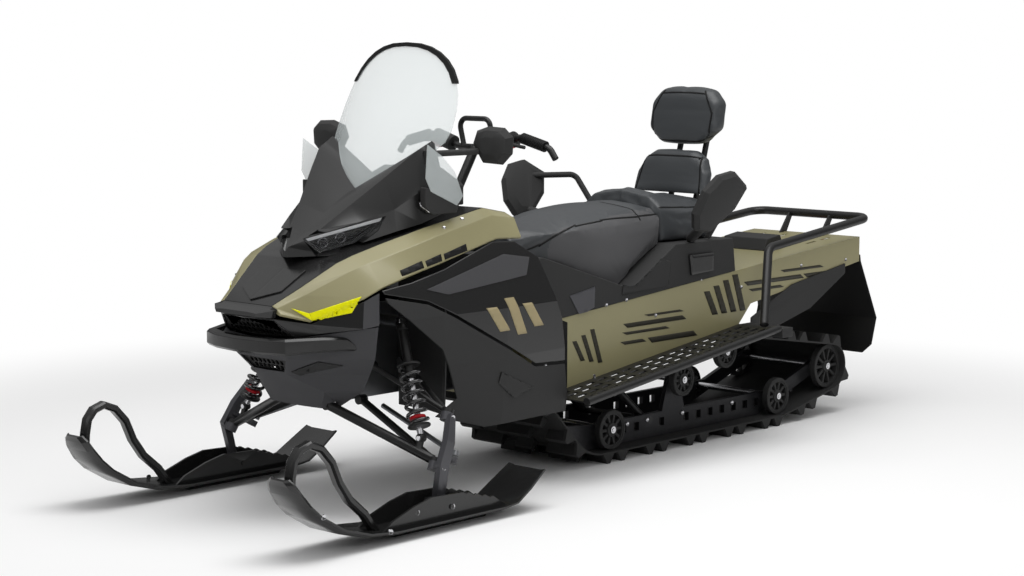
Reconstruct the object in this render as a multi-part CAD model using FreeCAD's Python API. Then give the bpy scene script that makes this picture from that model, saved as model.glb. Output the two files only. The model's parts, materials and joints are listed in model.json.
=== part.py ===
import FreeCAD, Part
import math
import os

# Two-seat utility snowmobile, millimetres.
# X points forward, Y to the rider's left, Z up. The origin lies on the ground,
# under the middle of the machine.

# Ground stance
ski_stance = 970.0
ski_pivot_x = 1017.0
ski_pivot_z = 66.0

# Skis
ski_front_reach = 645.0
ski_rear_reach = 408.0
ski_width = 176.0
ski_plate = 10.0
ski_sole_z = 20.0
ski_tip_rise = 236.0
ski_tail_rise = 112.0
ski_flat_front = 250.0
ski_flat_rear = 210.0
ski_keel_width = 34.0
ski_edge_rise = 11.0
ski_wall_height = 82.0
ski_wall = 8.0
ski_wall_offset = 52.0
ski_wall_run = 262.0
ski_scallops = 4
saddle_gap = 1.0
saddle_wall = 7.0
saddle_length = 120.0
ski_bolt_radius = 8.0
ski_loop_depth = 24.0
ski_loop_width = 36.0

# Front suspension: points of the left side
lower_ball_x = 1026.0
lower_ball_y = 476.0
lower_ball_z = 182.0
upper_ball_x = 950.0
upper_ball_y = 454.0
upper_ball_z = 322.0
ball_stud_radius = 8.0
ball_boss_radius = 19.0
ball_boss_height = 26.0
ball_eye_height = 12.0
pin_clearance = 0.3
leg_eye_radius = 21.0
leg_eye_width = 40.0
leg_offset = 34.0
leg_thickness = 22.0
leg_depth = 40.0
steer_arm_length = 74.0
steer_arm_radius = 14.0
steer_arm_height = 10.0
arm_tube_radius = 15.0
upper_arm_tube_radius = 9.0
lower_arm_inner_y = 112.0
lower_arm_front_x = 1125.0
lower_arm_rear_x = 985.0
lower_arm_inner_z = 340.0
upper_arm_inner_y = 152.0
upper_arm_front_x = 976.0
upper_arm_rear_x = 842.0
upper_arm_inner_z = 452.0
shock_low_y = 425.0
shock_low_lift = 42.0
shock_low_back = 14.0
shock_top_x = 955.0
shock_top_y = 262.0
shock_top_z = 600.0
shock_coil_radius = 30.0
shock_wire_radius = 6.0
shock_coils = 6
coil_corners = 10
shock_body_radius = 15.0
shock_rod_radius = 8.0
shock_eye_radius = 14.0
tie_rod_radius = 8.0
tie_rod_inner_y = 150.0
tie_rod_inner_z = 318.0
tie_rod_gap = 6.0

# Bulkhead and engine
bulkhead_front_x = 1150.0
bulkhead_rear_x = 800.0
bulkhead_low_z = 342.0
bulkhead_high_z = 640.0
bulkhead_plate = 6.0
engine_length = 384.0
engine_width = 460.0
engine_height = 320.0
engine_x = 598.0
engine_low_z = 348.3

# Tunnel, the folded sheet box over the track
tunnel_half_width = 258.0
tunnel_wall = 4.0
tunnel_front_x = 350.0
tunnel_rear_x = -1578.0
tunnel_front_z = 523.0
tunnel_rear_z = 694.0
tunnel_front_low_z = 262.0
tunnel_step_x = -780.0
tunnel_step_z = 409.0
tunnel_step_run = 84.0
tunnel_step_rise = 82.0
tunnel_rear_depth = 98.0
tunnel_nose_chamfer = 60.0
deck_slot_length = 64.0
deck_slot_width = 14.0
deck_slot_pitch = 96.0
deck_slot_rows = 4
deck_slot_row_pitch = 104.0
deck_slot_margin = 60.0

# Running boards
board_outer_y = 440.0
board_front_x = 277.7
board_rear_x = -790.0
board_drop = 6.0
board_plate = 5.0
board_rail_radius = 14.0
board_slot_length = 44.0
board_slot_width = 17.0
board_slot_pitch = 64.0
board_slot_margin = 30.0

# Rear rack, brace and flap
rack_tube_radius = 16.5
rack_foot_y = 400.0
rack_knee_x = -925.0
rack_knee_y = 290.0
rack_knee_z = 697.0
rack_rear_x = -1617.0
rack_rear_y = 276.0
rack_rear_z = 769.0
rack_bend = 62.0
rack_tab_y = 98.0
rack_tab_width = 22.0
rack_tab_plate = 8.0
brace_plate = 6.0
brace_foot_depth = 70.0
flap_half_width = 291.0
flap_plate = 8.0
flap_low_z = 226.0
flap_belly_x = -1662.0
flap_belly_z = 366.0
flap_low_x = -1620.0
flap_top_lap = 26.0
deck_box_x = -1150.0
deck_box_length = 130.0
deck_box_width = 210.0
deck_box_height = 46.0
tail_lamp_width = 150.0
tail_lamp_height = 27.0
tail_lamp_length = 22.0
hitch_width = 70.0
hitch_plate = 10.0
hitch_reach = 84.0
hitch_pin_edge = 17.0
hitch_pin_radius = 8.0
hitch_drop = 40.0

# Track: the closed belt runs round these circles, all inside the belt
track_half_width = 250.0
belt_thickness = 6.0
lug_height = 34.0
lug_base = 30.0
lug_tip = 16.0
lug_rows = 51
lug_brace_base = 60.0
lug_brace_width = 14.0
drive_x = 200.0
drive_z = 335.0
drive_radius = 92.0
driver_teeth = 9
nose_x = -40.0
nose_radius = 200.0
road_wheel_radius = 70.5
front_wheel_x = -109.0
mid_wheel_x = -1091.0
idler_x = -1416.0
idler_z = 191.0
idler_radius = 86.0
carrier_x = -765.0
carrier_z = 316.0
carrier_radius = 60.0
arm_wheel_x = -509.0
arm_wheel_z = 241.0
wheel_clearance = 0.3
wheel_width = 26.0
wheel_y = 214.0
axle_radius = 12.0
rail_y = 168.0
rail_width = 18.0
rail_top_z = 128.0
rail_rear_x = -1130.0
rail_tip_drop = 46.0
rail_tip_deg = 48.0
arm_bar_radius = 14.0
front_arm_top_x = -60.0
front_arm_top_z = 368.0
front_arm_low_x = -380.0

# Body shell
panel_wall = 7.0
panel_gap = 4.0
side_panel_y = 392.0
side_panel_inset = 26.0
side_front_x = 1150.0
side_rear_x = 278.0
side_low_z = 242.0
side_high_z = 852.0
nose_top_z = 668.0
nose_low_z = 636.0
nose_half_width = 137.0
hood_front_x = 1351.0
hood_nose_reach = 50.0
hood_rear_x = 480.0
hood_half_width = 346.0
hood_low_z = 622.0
hood_rise = 318.0
hood_plate = 22.0
collar_length = 136.0
collar_wall = 12.0
fascia_front_x = 1372.0
fascia_rear_x = 1112.0
fascia_half_width = 338.0
fascia_low_z = 566.0
fascia_high_z = 706.0
belly_front_x = 1345.0
belly_rear_x = 1085.0
belly_low_z = 334.0
belly_front_top_z = 562.0
belly_rear_top_z = 610.0
belly_wall = 8.0
belly_half_width = 336.0
grille_depth = 6.0
grille_cell = 20.0
grille_bar = 5.0
upper_grille_low_z = 575.0
upper_grille_high_z = 625.0
upper_grille_half_width = 150.0
lower_grille_low_z = 455.0
lower_grille_high_z = 496.0
lower_grille_half_width = 108.0
bumper_front_x = 1405.0
bumper_rear_x = 1145.0
bumper_half_width = 286.0
bumper_low_z = 524.0
bumper_high_z = 585.0
bumper_depth = 30.0
bumper_edge = 8.0
liner_inner_x = 808.0
liner_outer_x = 886.0
liner_low_z = 300.0
liner_high_z = 735.0
liner_wall = 5.0

# Headlamp shroud, lamps, windshield and dash
shroud_front_x = 1199.0
shroud_rear_x = 770.0
shroud_low_z = 798.9
shroud_peak_z = 1152.0
shroud_half_width = 262.0
lamp_depth = 34.0
lamp_proud = 6.0
lamp_gap = 2.0
lamp_window_reach = 70.0
lamp_inner_x = 1178.0
lamp_inner_y = 60.0
lamp_inner_z = 858.0
lamp_outer_x = 963.0
lamp_outer_y = 200.0
lamp_outer_z = 924.0
lamp_low_x = 1150.0
lamp_low_y = 60.0
lamp_low_z = 806.0
windshield_wall = 4.0
windshield_low_z = 985.0
windshield_top_z = 1456.0
windshield_low_x = 905.0
windshield_top_x = 676.0
windshield_half_width = 262.0
windshield_sag = 80.0
shield_steps = 9
shield_roundness = 0.84
trim_wall = 3.0
trim_band = 10.0
dash_front_x = 762.0
dash_rear_x = 560.0
dash_low_z = 934.0
dash_top_z = 1060.0
dash_half_width = 150.0
duct_front_x = 872.0
duct_rear_x = 715.0
duct_width = 24.0
duct_low_z = 925.0
duct_top_z = 1012.0
deflector_wall = 3.0
mirror_x = 671.0
mirror_y = 376.0
mirror_z = 1137.0
mirror_width = 172.0
mirror_height = 122.0
mirror_depth = 40.0
mirror_arm_radius = 10.0
mirror_root_x = 812.0
mirror_root_y = 240.0
mirror_root_z = 1112.0

# Handlebar on its raked column
bar_x = 350.0
bar_z = 1108.0
column_rake_deg = 32.0
column_radius = 16.0
column_below = 116.0
bar_radius = 11.0
bar_half_width = 362.0
bar_rise = 40.0
bar_clamp_half = 70.0
bar_grip_start = 205.0
bar_tip_hook = 26.0
grip_radius = 17.0
bar_bend = 40.0
loop_height = 96.0
loop_half_width = 78.0
loop_foot_half = 52.0
loop_radius = 9.0
loop_bend = 28.0
pod_length = 84.0
pod_radius = 27.0
lever_length = 130.0
lever_radius = 6.0

# Seats
seat_front_x = 296.0
seat_split_x = -408.0
seat_rear_x = -716.0
seat_front_z = 836.0
seat_crest_z = 893.0
seat_band_z = 943.0
passenger_z = 899.0
seat_low_x = -165.0
seat_low_z = 606.0
seat_half_width = 196.0
soft_gap = 0.3
base_half_width = 262.0
base_front_x = 395.0
base_front_z = 752.0
base_rear_x = -762.0
base_top_z = 745.0
backrest_low_z = 890.0
backrest_top_z = 1065.0
backrest_half_width = 176.0
backrest_depth = 66.0
backrest_lean = 46.0
headrest_low_z = 1078.0
headrest_top_z = 1300.0
headrest_half_width = 166.0
headrest_depth = 84.0
headrest_x = -742.0
headrest_lean = 34.0
seat_wedge = 17.0
post_radius = 11.0
post_y = 60.0
post_foot_x = -752.0
guard_plate = 24.0
guard_front_x = -272.0
guard_rear_x = -520.0
guard_low_z = 812.0
guard_top_z = 1014.0
guard_y = 424.0
guard_flare = 78.0
grip_bar_radius = 11.0
grip_bar_z = 956.0
grip_bar_rear_x = -600.0
grip_bar_rear_y = 385.0
bracket_run = 20.0
arm_root_x = -520.0

# Cuts run past what they cut by this much
overrun = 20.0

# Corners nearer than this are one corner
tiny = 0.001


def vec(x, y, z):
    return FreeCAD.Vector(x, y, z)


across = vec(0, 1, 0)
upward = vec(0, 0, 1)
forward = vec(1, 0, 0)
origin = vec(0, 0, 0)


def mirrored(shape):
    return shape.mirror(origin, across)


def both_sides(shape):
    return Part.makeCompound([shape, mirrored(shape)])


def joined(shapes):
    fused = shapes[0].multiFuse(shapes[1:])
    merged = fused.removeSplitter()
    return merged if merged.isValid() else fused


def side_plate(points, y_low, y_high):
    corners = [vec(x, y_low, z) for x, z in points]
    face = Part.Face(Part.makePolygon(corners + corners[:1]))
    return face.extrude(vec(0, y_high - y_low, 0))


def front_plate(points, x_low, x_high):
    corners = [vec(x_low, y, z) for y, z in points]
    face = Part.Face(Part.makePolygon(corners + corners[:1]))
    return face.extrude(vec(x_high - x_low, 0, 0))


def top_plate(points, z_low, z_high):
    corners = [vec(x, y, z_low) for x, y in points]
    face = Part.Face(Part.makePolygon(corners + corners[:1]))
    return face.extrude(vec(0, 0, z_high - z_low))


def block(low, high):
    size = high.sub(low)
    return Part.makeBox(size.x, size.y, size.z, low)


def rod(start, end, radius):
    run = end.sub(start)
    return Part.makeCylinder(radius, run.Length, start, run)


def cross_rod(x, z, y_low, y_high, radius):
    return rod(vec(x, y_low, z), vec(x, y_high, z), radius)


def bent_tube(points, bend, radius):
    pieces = []
    start = points[0]
    for before, corner, after in zip(points, points[1:], points[2:]):
        inward = before.sub(corner).normalize()
        outward = after.sub(corner).normalize()
        turn = math.pi - inward.getAngle(outward)
        trim = bend * math.tan(turn / 2)
        first = corner.add(inward * trim)
        bisector = inward.add(outward).normalize()
        centre = corner.add(bisector * (bend / math.cos(turn / 2)))
        hinge = outward.cross(inward).normalize()
        pieces.append(rod(start, first, radius))
        ring = Part.Face(Part.Wire(Part.makeCircle(radius, first, inward)))
        pieces.append(ring.revolve(centre, hinge, math.degrees(turn)))
        start = corner.add(outward * trim)
    pieces.append(rod(start, points[-1], radius))
    return joined(pieces)


def triangle(a, b, c):
    return Part.Face(Part.makePolygon([a, b, c, a]))


def corner_loft(rings):
    faces = [Part.Face(Part.makePolygon(ring + ring[:1])) for ring in (rings[0], rings[-1])]
    for near, far in zip(rings, rings[1:]):
        count = len(near)
        for i in range(count):
            k = (i + 1) % count
            if near[i].distanceToPoint(near[k]) > tiny:
                faces.append(triangle(near[i], near[k], far[k]))
            if far[i].distanceToPoint(far[k]) > tiny:
                faces.append(triangle(near[i], far[k], far[i]))
    shell = Part.Shell(faces)
    shell.sewShape()
    return Part.makeSolid(shell)


def ruled_body(sections):
    left = corner_loft([[vec(x, y, z) for y, z in outline] for x, outline in sections])
    return joined([left, mirrored(left)])


def half_body(rings):
    left = corner_loft(rings)
    return joined([left, mirrored(left)])


def largest(shape):
    return max(shape.Solids, key=lambda solid: solid.Volume)


def between(low, high, share):
    return low + (high - low) * share


# Tunnel and what stands on it

def tunnel_top(x):
    share = (tunnel_front_x - x) / (tunnel_front_x - tunnel_rear_x)
    return between(tunnel_front_z, tunnel_rear_z, share)


def tunnel_low(x):
    share = (tunnel_front_x - x) / (tunnel_front_x - tunnel_step_x)
    return between(tunnel_front_low_z, tunnel_step_z, share)


def deck_slots():
    slots = []
    run = deck_box_x - deck_box_length - deck_slot_margin - tunnel_rear_x
    columns = int(run / deck_slot_pitch)
    for column in range(columns):
        x = tunnel_rear_x + deck_slot_margin + column * deck_slot_pitch
        for row in range(deck_slot_rows):
            y = (row - (deck_slot_rows - 1) / 2) * deck_slot_row_pitch
            low = vec(x, y - deck_slot_width / 2, tunnel_top(x) - overrun)
            high = vec(x + deck_slot_length, y + deck_slot_width / 2, tunnel_top(x) + overrun)
            slots.append(block(low, high))
    return slots


def make_tunnel():
    chamfer_x = tunnel_front_x - tunnel_nose_chamfer
    step_end_x = tunnel_step_x - tunnel_step_run
    outer = [
        (tunnel_front_x, tunnel_front_low_z),
        (tunnel_step_x, tunnel_step_z),
        (step_end_x, tunnel_step_z + tunnel_step_rise),
        (tunnel_rear_x, tunnel_rear_z - tunnel_rear_depth),
        (tunnel_rear_x, tunnel_rear_z),
        (chamfer_x, tunnel_top(chamfer_x)),
        (tunnel_front_x, tunnel_top(tunnel_front_x) - tunnel_nose_chamfer),
    ]
    past_rear_x = tunnel_rear_x - overrun
    inner_front_x = tunnel_front_x - tunnel_wall
    inner_chamfer_x = chamfer_x - tunnel_wall / 2
    inner = [
        (inner_front_x, 0),
        (past_rear_x, 0),
        (past_rear_x, tunnel_top(past_rear_x) - tunnel_wall),
        (inner_chamfer_x, tunnel_top(inner_chamfer_x) - tunnel_wall),
        (inner_front_x, tunnel_top(tunnel_front_x) - tunnel_nose_chamfer - tunnel_wall / 2),
    ]
    shell = side_plate(outer, -tunnel_half_width, tunnel_half_width)
    inside_half = tunnel_half_width - tunnel_wall
    shell = shell.cut(side_plate(inner, -inside_half, inside_half))
    return shell.cut(Part.makeCompound(deck_slots()))


def board_top(x):
    return tunnel_low(x) + board_drop + board_plate


def make_running_board():
    outline = [
        (board_front_x, board_top(board_front_x)),
        (board_rear_x, board_top(board_rear_x)),
        (board_rear_x, board_top(board_rear_x) - board_plate),
        (board_front_x, board_top(board_front_x) - board_plate),
    ]
    plate = side_plate(outline, tunnel_half_width, board_outer_y - board_rail_radius / 2)
    slots = []
    width = board_outer_y - tunnel_half_width
    count = int((board_front_x - board_rear_x - board_slot_margin) / board_slot_pitch)
    for index in range(count):
        x = board_rear_x + board_slot_margin + index * board_slot_pitch
        for share in (0.2, 0.4, 0.6, 0.8):
            y = tunnel_half_width + width * share
            low = vec(x, y - board_slot_width / 2, board_top(x) - overrun - board_slot_width)
            high = vec(x + board_slot_length, y + board_slot_width / 2, board_top(x) + overrun)
            slots.append(block(low, high))
    plate = plate.cut(Part.makeCompound(slots))
    rail_front = vec(board_front_x, board_outer_y, board_top(board_front_x))
    rail_rear = vec(board_rear_x, board_outer_y, board_top(board_rear_x))
    rail = rod(rail_front, rail_rear, board_rail_radius)
    return joined([plate, rail])


def rack_foot():
    z = board_top(board_rear_x) + board_rail_radius
    return vec(board_rear_x + brace_foot_depth / 2, rack_foot_y, z)


def make_rear_rack():
    foot = rack_foot()
    knee = vec(rack_knee_x, rack_knee_y, rack_knee_z)
    corner = vec(rack_rear_x, rack_rear_y, rack_rear_z)
    right_side = [vec(p.x, -p.y, p.z) for p in (corner, knee, foot)]
    hoop = bent_tube([foot, knee, corner] + right_side, rack_bend, rack_tube_radius)
    pieces = [hoop]
    for y in (-rack_tab_y, rack_tab_y):
        tab = [
            (rack_rear_x - rack_tab_plate / 2, rack_rear_z),
            (rack_rear_x + rack_tab_width, rack_rear_z),
            (tunnel_rear_x + rack_tab_width * 2, tunnel_top(tunnel_rear_x + rack_tab_width * 2)),
            (tunnel_rear_x, tunnel_rear_z),
        ]
        pieces.append(side_plate(tab, y - rack_tab_plate / 2, y + rack_tab_plate / 2))
    return joined(pieces)


def make_rack_brace():
    top_x = board_rear_x - brace_foot_depth
    outline_shares = [(0.0, 0.0), (0.0, 0.36), (0.42, 0.78), (1.0, 1.0), (1.0, 0.84), (0.62, 0.36)]
    rear_x = tunnel_rear_x + flap_top_lap * 4
    rear_z = tunnel_rear_z - tunnel_rear_depth
    low_z = board_top(board_rear_x) - brace_foot_depth
    outline = [
        (between(top_x, rear_x, along), between(low_z, rear_z, up)) for along, up in outline_shares
    ]
    brace = side_plate(outline, tunnel_half_width, tunnel_half_width + brace_plate)
    foot_front_x = board_rear_x - brace_plate
    foot_outline = [
        (foot_front_x, low_z + brace_foot_depth / 2),
        (foot_front_x, board_top(board_rear_x)),
        (top_x, board_top(board_rear_x)),
        (top_x, low_z + brace_foot_depth / 2),
    ]
    foot_y = board_outer_y + board_rail_radius
    foot = side_plate(foot_outline, tunnel_half_width, foot_y)
    return both_sides(joined([brace, foot]))


def make_snow_flap():
    top_z = tunnel_rear_z - tunnel_rear_depth + flap_top_lap
    face = [
        (tunnel_rear_x, top_z),
        (tunnel_rear_x, top_z - flap_top_lap),
        (flap_belly_x + flap_plate, flap_belly_z),
        (flap_low_x + flap_plate, flap_low_z),
    ]
    back = [(x - flap_plate, z) for x, z in reversed(face)]
    sheet = side_plate(face + back, -flap_half_width, flap_half_width)
    corner = flap_half_width * 0.12
    outline = [
        (-tunnel_half_width, top_z),
        (-flap_half_width, flap_belly_z),
        (-flap_half_width, flap_low_z + corner),
        (-flap_half_width + corner, flap_low_z),
        (flap_half_width - corner, flap_low_z),
        (flap_half_width, flap_low_z + corner),
        (flap_half_width, flap_belly_z),
        (tunnel_half_width, top_z),
    ]
    return sheet.common(front_plate(outline, flap_belly_x - overrun, tunnel_rear_x + overrun))


def make_deck_box():
    front_x = deck_box_x
    rear_x = deck_box_x - deck_box_length
    bevel = deck_box_height / 2
    outline = [
        (front_x, tunnel_top(front_x)),
        (front_x - bevel, tunnel_top(front_x) + deck_box_height),
        (rear_x + bevel, tunnel_top(rear_x) + deck_box_height),
        (rear_x, tunnel_top(rear_x)),
    ]
    return side_plate(outline, -deck_box_width / 2, deck_box_width / 2)


def make_tail_lamp():
    front_x = tunnel_rear_x + tail_lamp_length
    rear_x = tunnel_rear_x - tail_lamp_length
    low_z = tunnel_rear_z - tunnel_wall - tail_lamp_height
    outline = [
        (rear_x, low_z),
        (rear_x, tunnel_rear_z - tunnel_wall),
        (tunnel_rear_x, tunnel_rear_z - tunnel_wall),
        (front_x, tunnel_top(front_x) - tunnel_wall),
        (front_x, low_z),
    ]
    return side_plate(outline, -tail_lamp_width / 2, tail_lamp_width / 2)


def make_tow_hitch():
    inside_half = tunnel_half_width - tunnel_wall
    bar_z = tunnel_rear_z - tunnel_wall - hitch_drop
    bar_x = tunnel_rear_x + hitch_drop
    bar = block(vec(bar_x, -inside_half, bar_z), vec(bar_x + hitch_drop, inside_half, bar_z + hitch_plate))
    pin_x = tunnel_rear_x - hitch_reach + hitch_pin_edge
    low = vec(tunnel_rear_x - hitch_reach, -hitch_width / 2, bar_z)
    high = vec(bar_x + hitch_drop, hitch_width / 2, bar_z + hitch_plate)
    tongue = joined([block(low, high), bar])
    pin = Part.makeCylinder(hitch_pin_radius, overrun * 2, vec(pin_x, 0, bar_z - overrun))
    return tongue.cut(pin)


# Track and skid

def loop_circles():
    ground = belt_thickness + lug_height
    return [
        (drive_x, drive_z, drive_radius),
        (nose_x, ground + nose_radius, nose_radius),
        (mid_wheel_x, ground + road_wheel_radius, road_wheel_radius),
        (idler_x, idler_z, idler_radius),
        (carrier_x, carrier_z, carrier_radius),
    ]


def tangent_points(first, second, grow):
    x1, z1, r1 = first
    x2, z2, r2 = second
    r1 = r1 + grow
    r2 = r2 + grow
    reach = math.hypot(x2 - x1, z2 - z1)
    heading = math.atan2(z2 - z1, x2 - x1)
    swing = math.acos((r1 - r2) / reach)
    angle = heading + swing
    start = vec(x1 + r1 * math.cos(angle), 0, z1 + r1 * math.sin(angle))
    end = vec(x2 + r2 * math.cos(angle), 0, z2 + r2 * math.sin(angle))
    return start, end, angle


def loop_edges(grow):
    circles = loop_circles()
    count = len(circles)
    spans = [tangent_points(circles[i], circles[(i + 1) % count], grow) for i in range(count)]
    edges = []
    for i, (start, end, angle) in enumerate(spans):
        edges.append(Part.LineSegment(start, end).toShape())
        centre_x, centre_z, radius = circles[(i + 1) % count]
        radius = radius + grow
        next_start, next_end, next_angle = spans[(i + 1) % count]
        turn = (angle - next_angle) % (2 * math.pi)
        middle_angle = angle + (2 * math.pi - turn) / 2 if turn > math.pi else angle - turn / 2
        middle = vec(
            centre_x + radius * math.cos(middle_angle), 0, centre_z + radius * math.sin(middle_angle)
        )
        edges.append(Part.Arc(end, middle, next_start).toShape())
    return edges


def loop_face(grow):
    return Part.Face(Part.Wire(loop_edges(grow)))


def point_on_loop(edges, distance):
    for edge in edges:
        if distance <= edge.Length:
            parameter = edge.getParameterByLength(distance)
            return edge.valueAt(parameter), edge.tangentAt(parameter)
        distance = distance - edge.Length
    last = edges[-1]
    return last.valueAt(last.LastParameter), last.tangentAt(last.LastParameter)


def make_track():
    width = vec(0, 2 * track_half_width, 0)
    outer = loop_face(belt_thickness).extrude(width)
    inner = loop_face(0).extrude(width)
    belt = outer.cut(inner).translate(vec(0, -track_half_width, 0))
    edges = loop_edges(belt_thickness)
    length = sum(edge.Length for edge in edges)
    lug_spans_shares = [
        [(-1.0, -0.42), (-0.16, 0.16), (0.42, 1.0)],
        [(-0.72, -0.2), (0.2, 0.72)],
        [(-1.0, -0.62), (-0.3, 0.3), (0.62, 1.0)],
    ]
    lugs = []
    for row in range(lug_rows):
        point, along = point_on_loop(edges, length * (row + 0.5) / lug_rows)
        along.normalize()
        out = along.cross(across)
        if out.dot(point.sub(loop_centre())) < 0:
            out = out * -1
        foot = point.sub(out * (belt_thickness / 2))
        tip = point.add(out * lug_height)
        for low_share, high_share in lug_spans_shares[row % len(lug_spans_shares)]:
            low_y = low_share * track_half_width
            high_y = high_share * track_half_width
            lugs.append(lug(foot, tip, along, lug_base, low_y, high_y))
            if low_share == -1.0:
                lugs.append(lug(foot, tip, along, lug_brace_base, low_y, low_y + lug_brace_width))
            if high_share == 1.0:
                lugs.append(lug(foot, tip, along, lug_brace_base, high_y - lug_brace_width, high_y))
    return belt.multiFuse(lugs)


def lug(foot, tip, along, base, low_y, high_y):
    corners = [
        foot.add(along * (base / 2)),
        foot.sub(along * (base / 2)),
        tip.sub(along * (lug_tip / 2)),
        tip.add(along * (lug_tip / 2)),
    ]
    corners = [corner.add(across * low_y) for corner in corners]
    profile = Part.Face(Part.makePolygon(corners + corners[:1]))
    return profile.extrude(across * (high_y - low_y))


def loop_centre():
    return vec((drive_x + idler_x) / 2, 0, (drive_z + road_wheel_radius) / 2)


def bogie_wheel(x, z, y, radius):
    rim = radius - wheel_clearance
    tyre_depth = rim * 0.2
    half_web = wheel_width * 0.18
    half_section = [
        (wheel_width / 2 - half_web, axle_radius),
        (wheel_width / 2 + half_web, axle_radius),
        (wheel_width / 2 + half_web, rim - tyre_depth),
        (wheel_width, rim - tyre_depth),
        (wheel_width, rim),
        (0, rim),
        (0, rim - tyre_depth),
        (wheel_width / 2 - half_web, rim - tyre_depth),
    ]
    start = y - wheel_width / 2
    corners = [vec(x, start + along, z + out) for along, out in half_section]
    profile = Part.Face(Part.makePolygon(corners + corners[:1]))
    return profile.revolve(vec(x, start, z), across, 360)


def make_skid_wheels():
    ground = belt_thickness + lug_height
    wheels = []
    places = [
        (front_wheel_x, ground + road_wheel_radius, road_wheel_radius),
        (mid_wheel_x, ground + road_wheel_radius, road_wheel_radius),
        (idler_x, idler_z, idler_radius),
        (carrier_x, carrier_z, carrier_radius),
        (arm_wheel_x, arm_wheel_z, carrier_radius),
    ]
    for x, z, radius in places:
        pair = [bogie_wheel(x, z, side * wheel_y, radius) for side in (-1, 1)]
        reach = wheel_y + wheel_width / 2
        if (x, z) == (carrier_x, carrier_z):
            reach = tunnel_half_width - tunnel_wall
        shaft = cross_rod(x, z, -reach, reach, axle_radius)
        wheels.append(joined(pair + [shaft]))
    return Part.makeCompound(wheels)


def rail_outline():
    ground = belt_thickness + lug_height + wheel_clearance
    nose_z = belt_thickness + lug_height + nose_radius
    inner = nose_radius - wheel_clearance
    turn_shares = [0.0, 0.3, 0.6, 0.9]
    tip_turn = math.radians(rail_tip_deg)
    curve = [
        (nose_x + inner * math.sin(tip_turn * share), nose_z - inner * math.cos(tip_turn * share))
        for share in turn_shares
    ]
    tip_x, tip_z = curve[-1]
    top = [
        (tip_x - rail_width, tip_z + rail_tip_drop),
        (nose_x, rail_top_z),
        (rail_rear_x, rail_top_z),
        (idler_x + axle_radius * 1.5, idler_z + axle_radius * 2),
        (idler_x - axle_radius * 1.5, idler_z + axle_radius * 2),
        (idler_x - axle_radius * 2, idler_z),
        (idler_x - axle_radius * 1.5, idler_z - axle_radius * 2),
        (idler_x + axle_radius * 1.5, idler_z - axle_radius * 2.4),
        (rail_rear_x, ground + rail_width * 2),
        (mid_wheel_x + road_wheel_radius, ground),
    ]
    return curve + top


def rail_windows():
    windows = []
    size = (rail_top_z - belt_thickness - lug_height) * 0.34
    middle_z = between(belt_thickness + lug_height, rail_top_z, 0.58)
    pitch = size * 2.4
    count = int((nose_x - rail_rear_x) / pitch)
    for index in range(count):
        x = nose_x - (index + 0.6) * pitch
        if min(abs(x - bore_x) for bore_x in (front_wheel_x, front_arm_low_x, arm_wheel_x)) < size * 1.4:
            continue
        low = vec(x - size / 2, rail_y - rail_width, middle_z - size / 2)
        high = vec(x + size / 2, rail_y + rail_width, middle_z + size / 2)
        windows.append(block(low, high))
    return windows


def make_skid_rails():
    rail = side_plate(rail_outline(), rail_y - rail_width / 2, rail_y + rail_width / 2)
    rail = rail.cut(Part.makeCompound(rail_windows()))
    post = [
        (arm_wheel_x + road_wheel_radius, rail_top_z - rail_width),
        (arm_wheel_x + axle_radius * 2, arm_wheel_z + axle_radius * 2),
        (arm_wheel_x - axle_radius * 2, arm_wheel_z + axle_radius * 2),
        (arm_wheel_x - road_wheel_radius, rail_top_z - rail_width),
    ]
    post_plate = side_plate(post, rail_y - rail_width / 2, rail_y + rail_width / 2)
    rail = joined([rail, post_plate])
    wheel_z = belt_thickness + lug_height + road_wheel_radius
    bores = [
        (front_wheel_x, wheel_z),
        (mid_wheel_x, wheel_z),
        (idler_x, idler_z),
        (arm_wheel_x, arm_wheel_z),
        (front_arm_low_x, rail_top_z - axle_radius * 2),
    ]
    holes = [cross_rod(x, z, 0, rail_y * 2, axle_radius) for x, z in bores]
    return both_sides(rail.cut(Part.makeCompound(holes)))


def make_skid_arms():
    inside = rail_y - rail_width / 2
    half = inside - arm_bar_radius - wheel_clearance
    front_low = vec(front_arm_low_x, half, rail_top_z - axle_radius * 2)
    front_top = vec(front_arm_top_x, half, front_arm_top_z)
    top_reach = tunnel_half_width - tunnel_wall
    low_reach = rail_y + rail_width / 2
    left_bar = rod(front_low, front_top, arm_bar_radius)
    bars = [
        left_bar,
        mirrored(left_bar),
        cross_rod(front_top.x, front_top.z, -top_reach, top_reach, arm_bar_radius),
        cross_rod(front_low.x, front_low.z, -low_reach, low_reach, axle_radius),
    ]
    return joined(bars)


def make_drive_axle():
    reach = tunnel_half_width - tunnel_wall
    shaft = cross_rod(drive_x, drive_z, -reach, reach, axle_radius * 1.5)
    drivers = []
    for share in (-0.5, -0.2, 0.2, 0.5):
        y = track_half_width * share
        corners = []
        for index in range(driver_teeth * 2):
            angle = math.pi * index / driver_teeth
            radius = drive_radius - wheel_clearance if index % 2 == 0 else drive_radius * 0.82
            corners.append((drive_x + radius * math.cos(angle), drive_z + radius * math.sin(angle)))
        drivers.append(side_plate(corners, y - wheel_width / 2, y + wheel_width / 2))
    return joined([shaft] + drivers)


# Skis and front suspension

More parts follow.
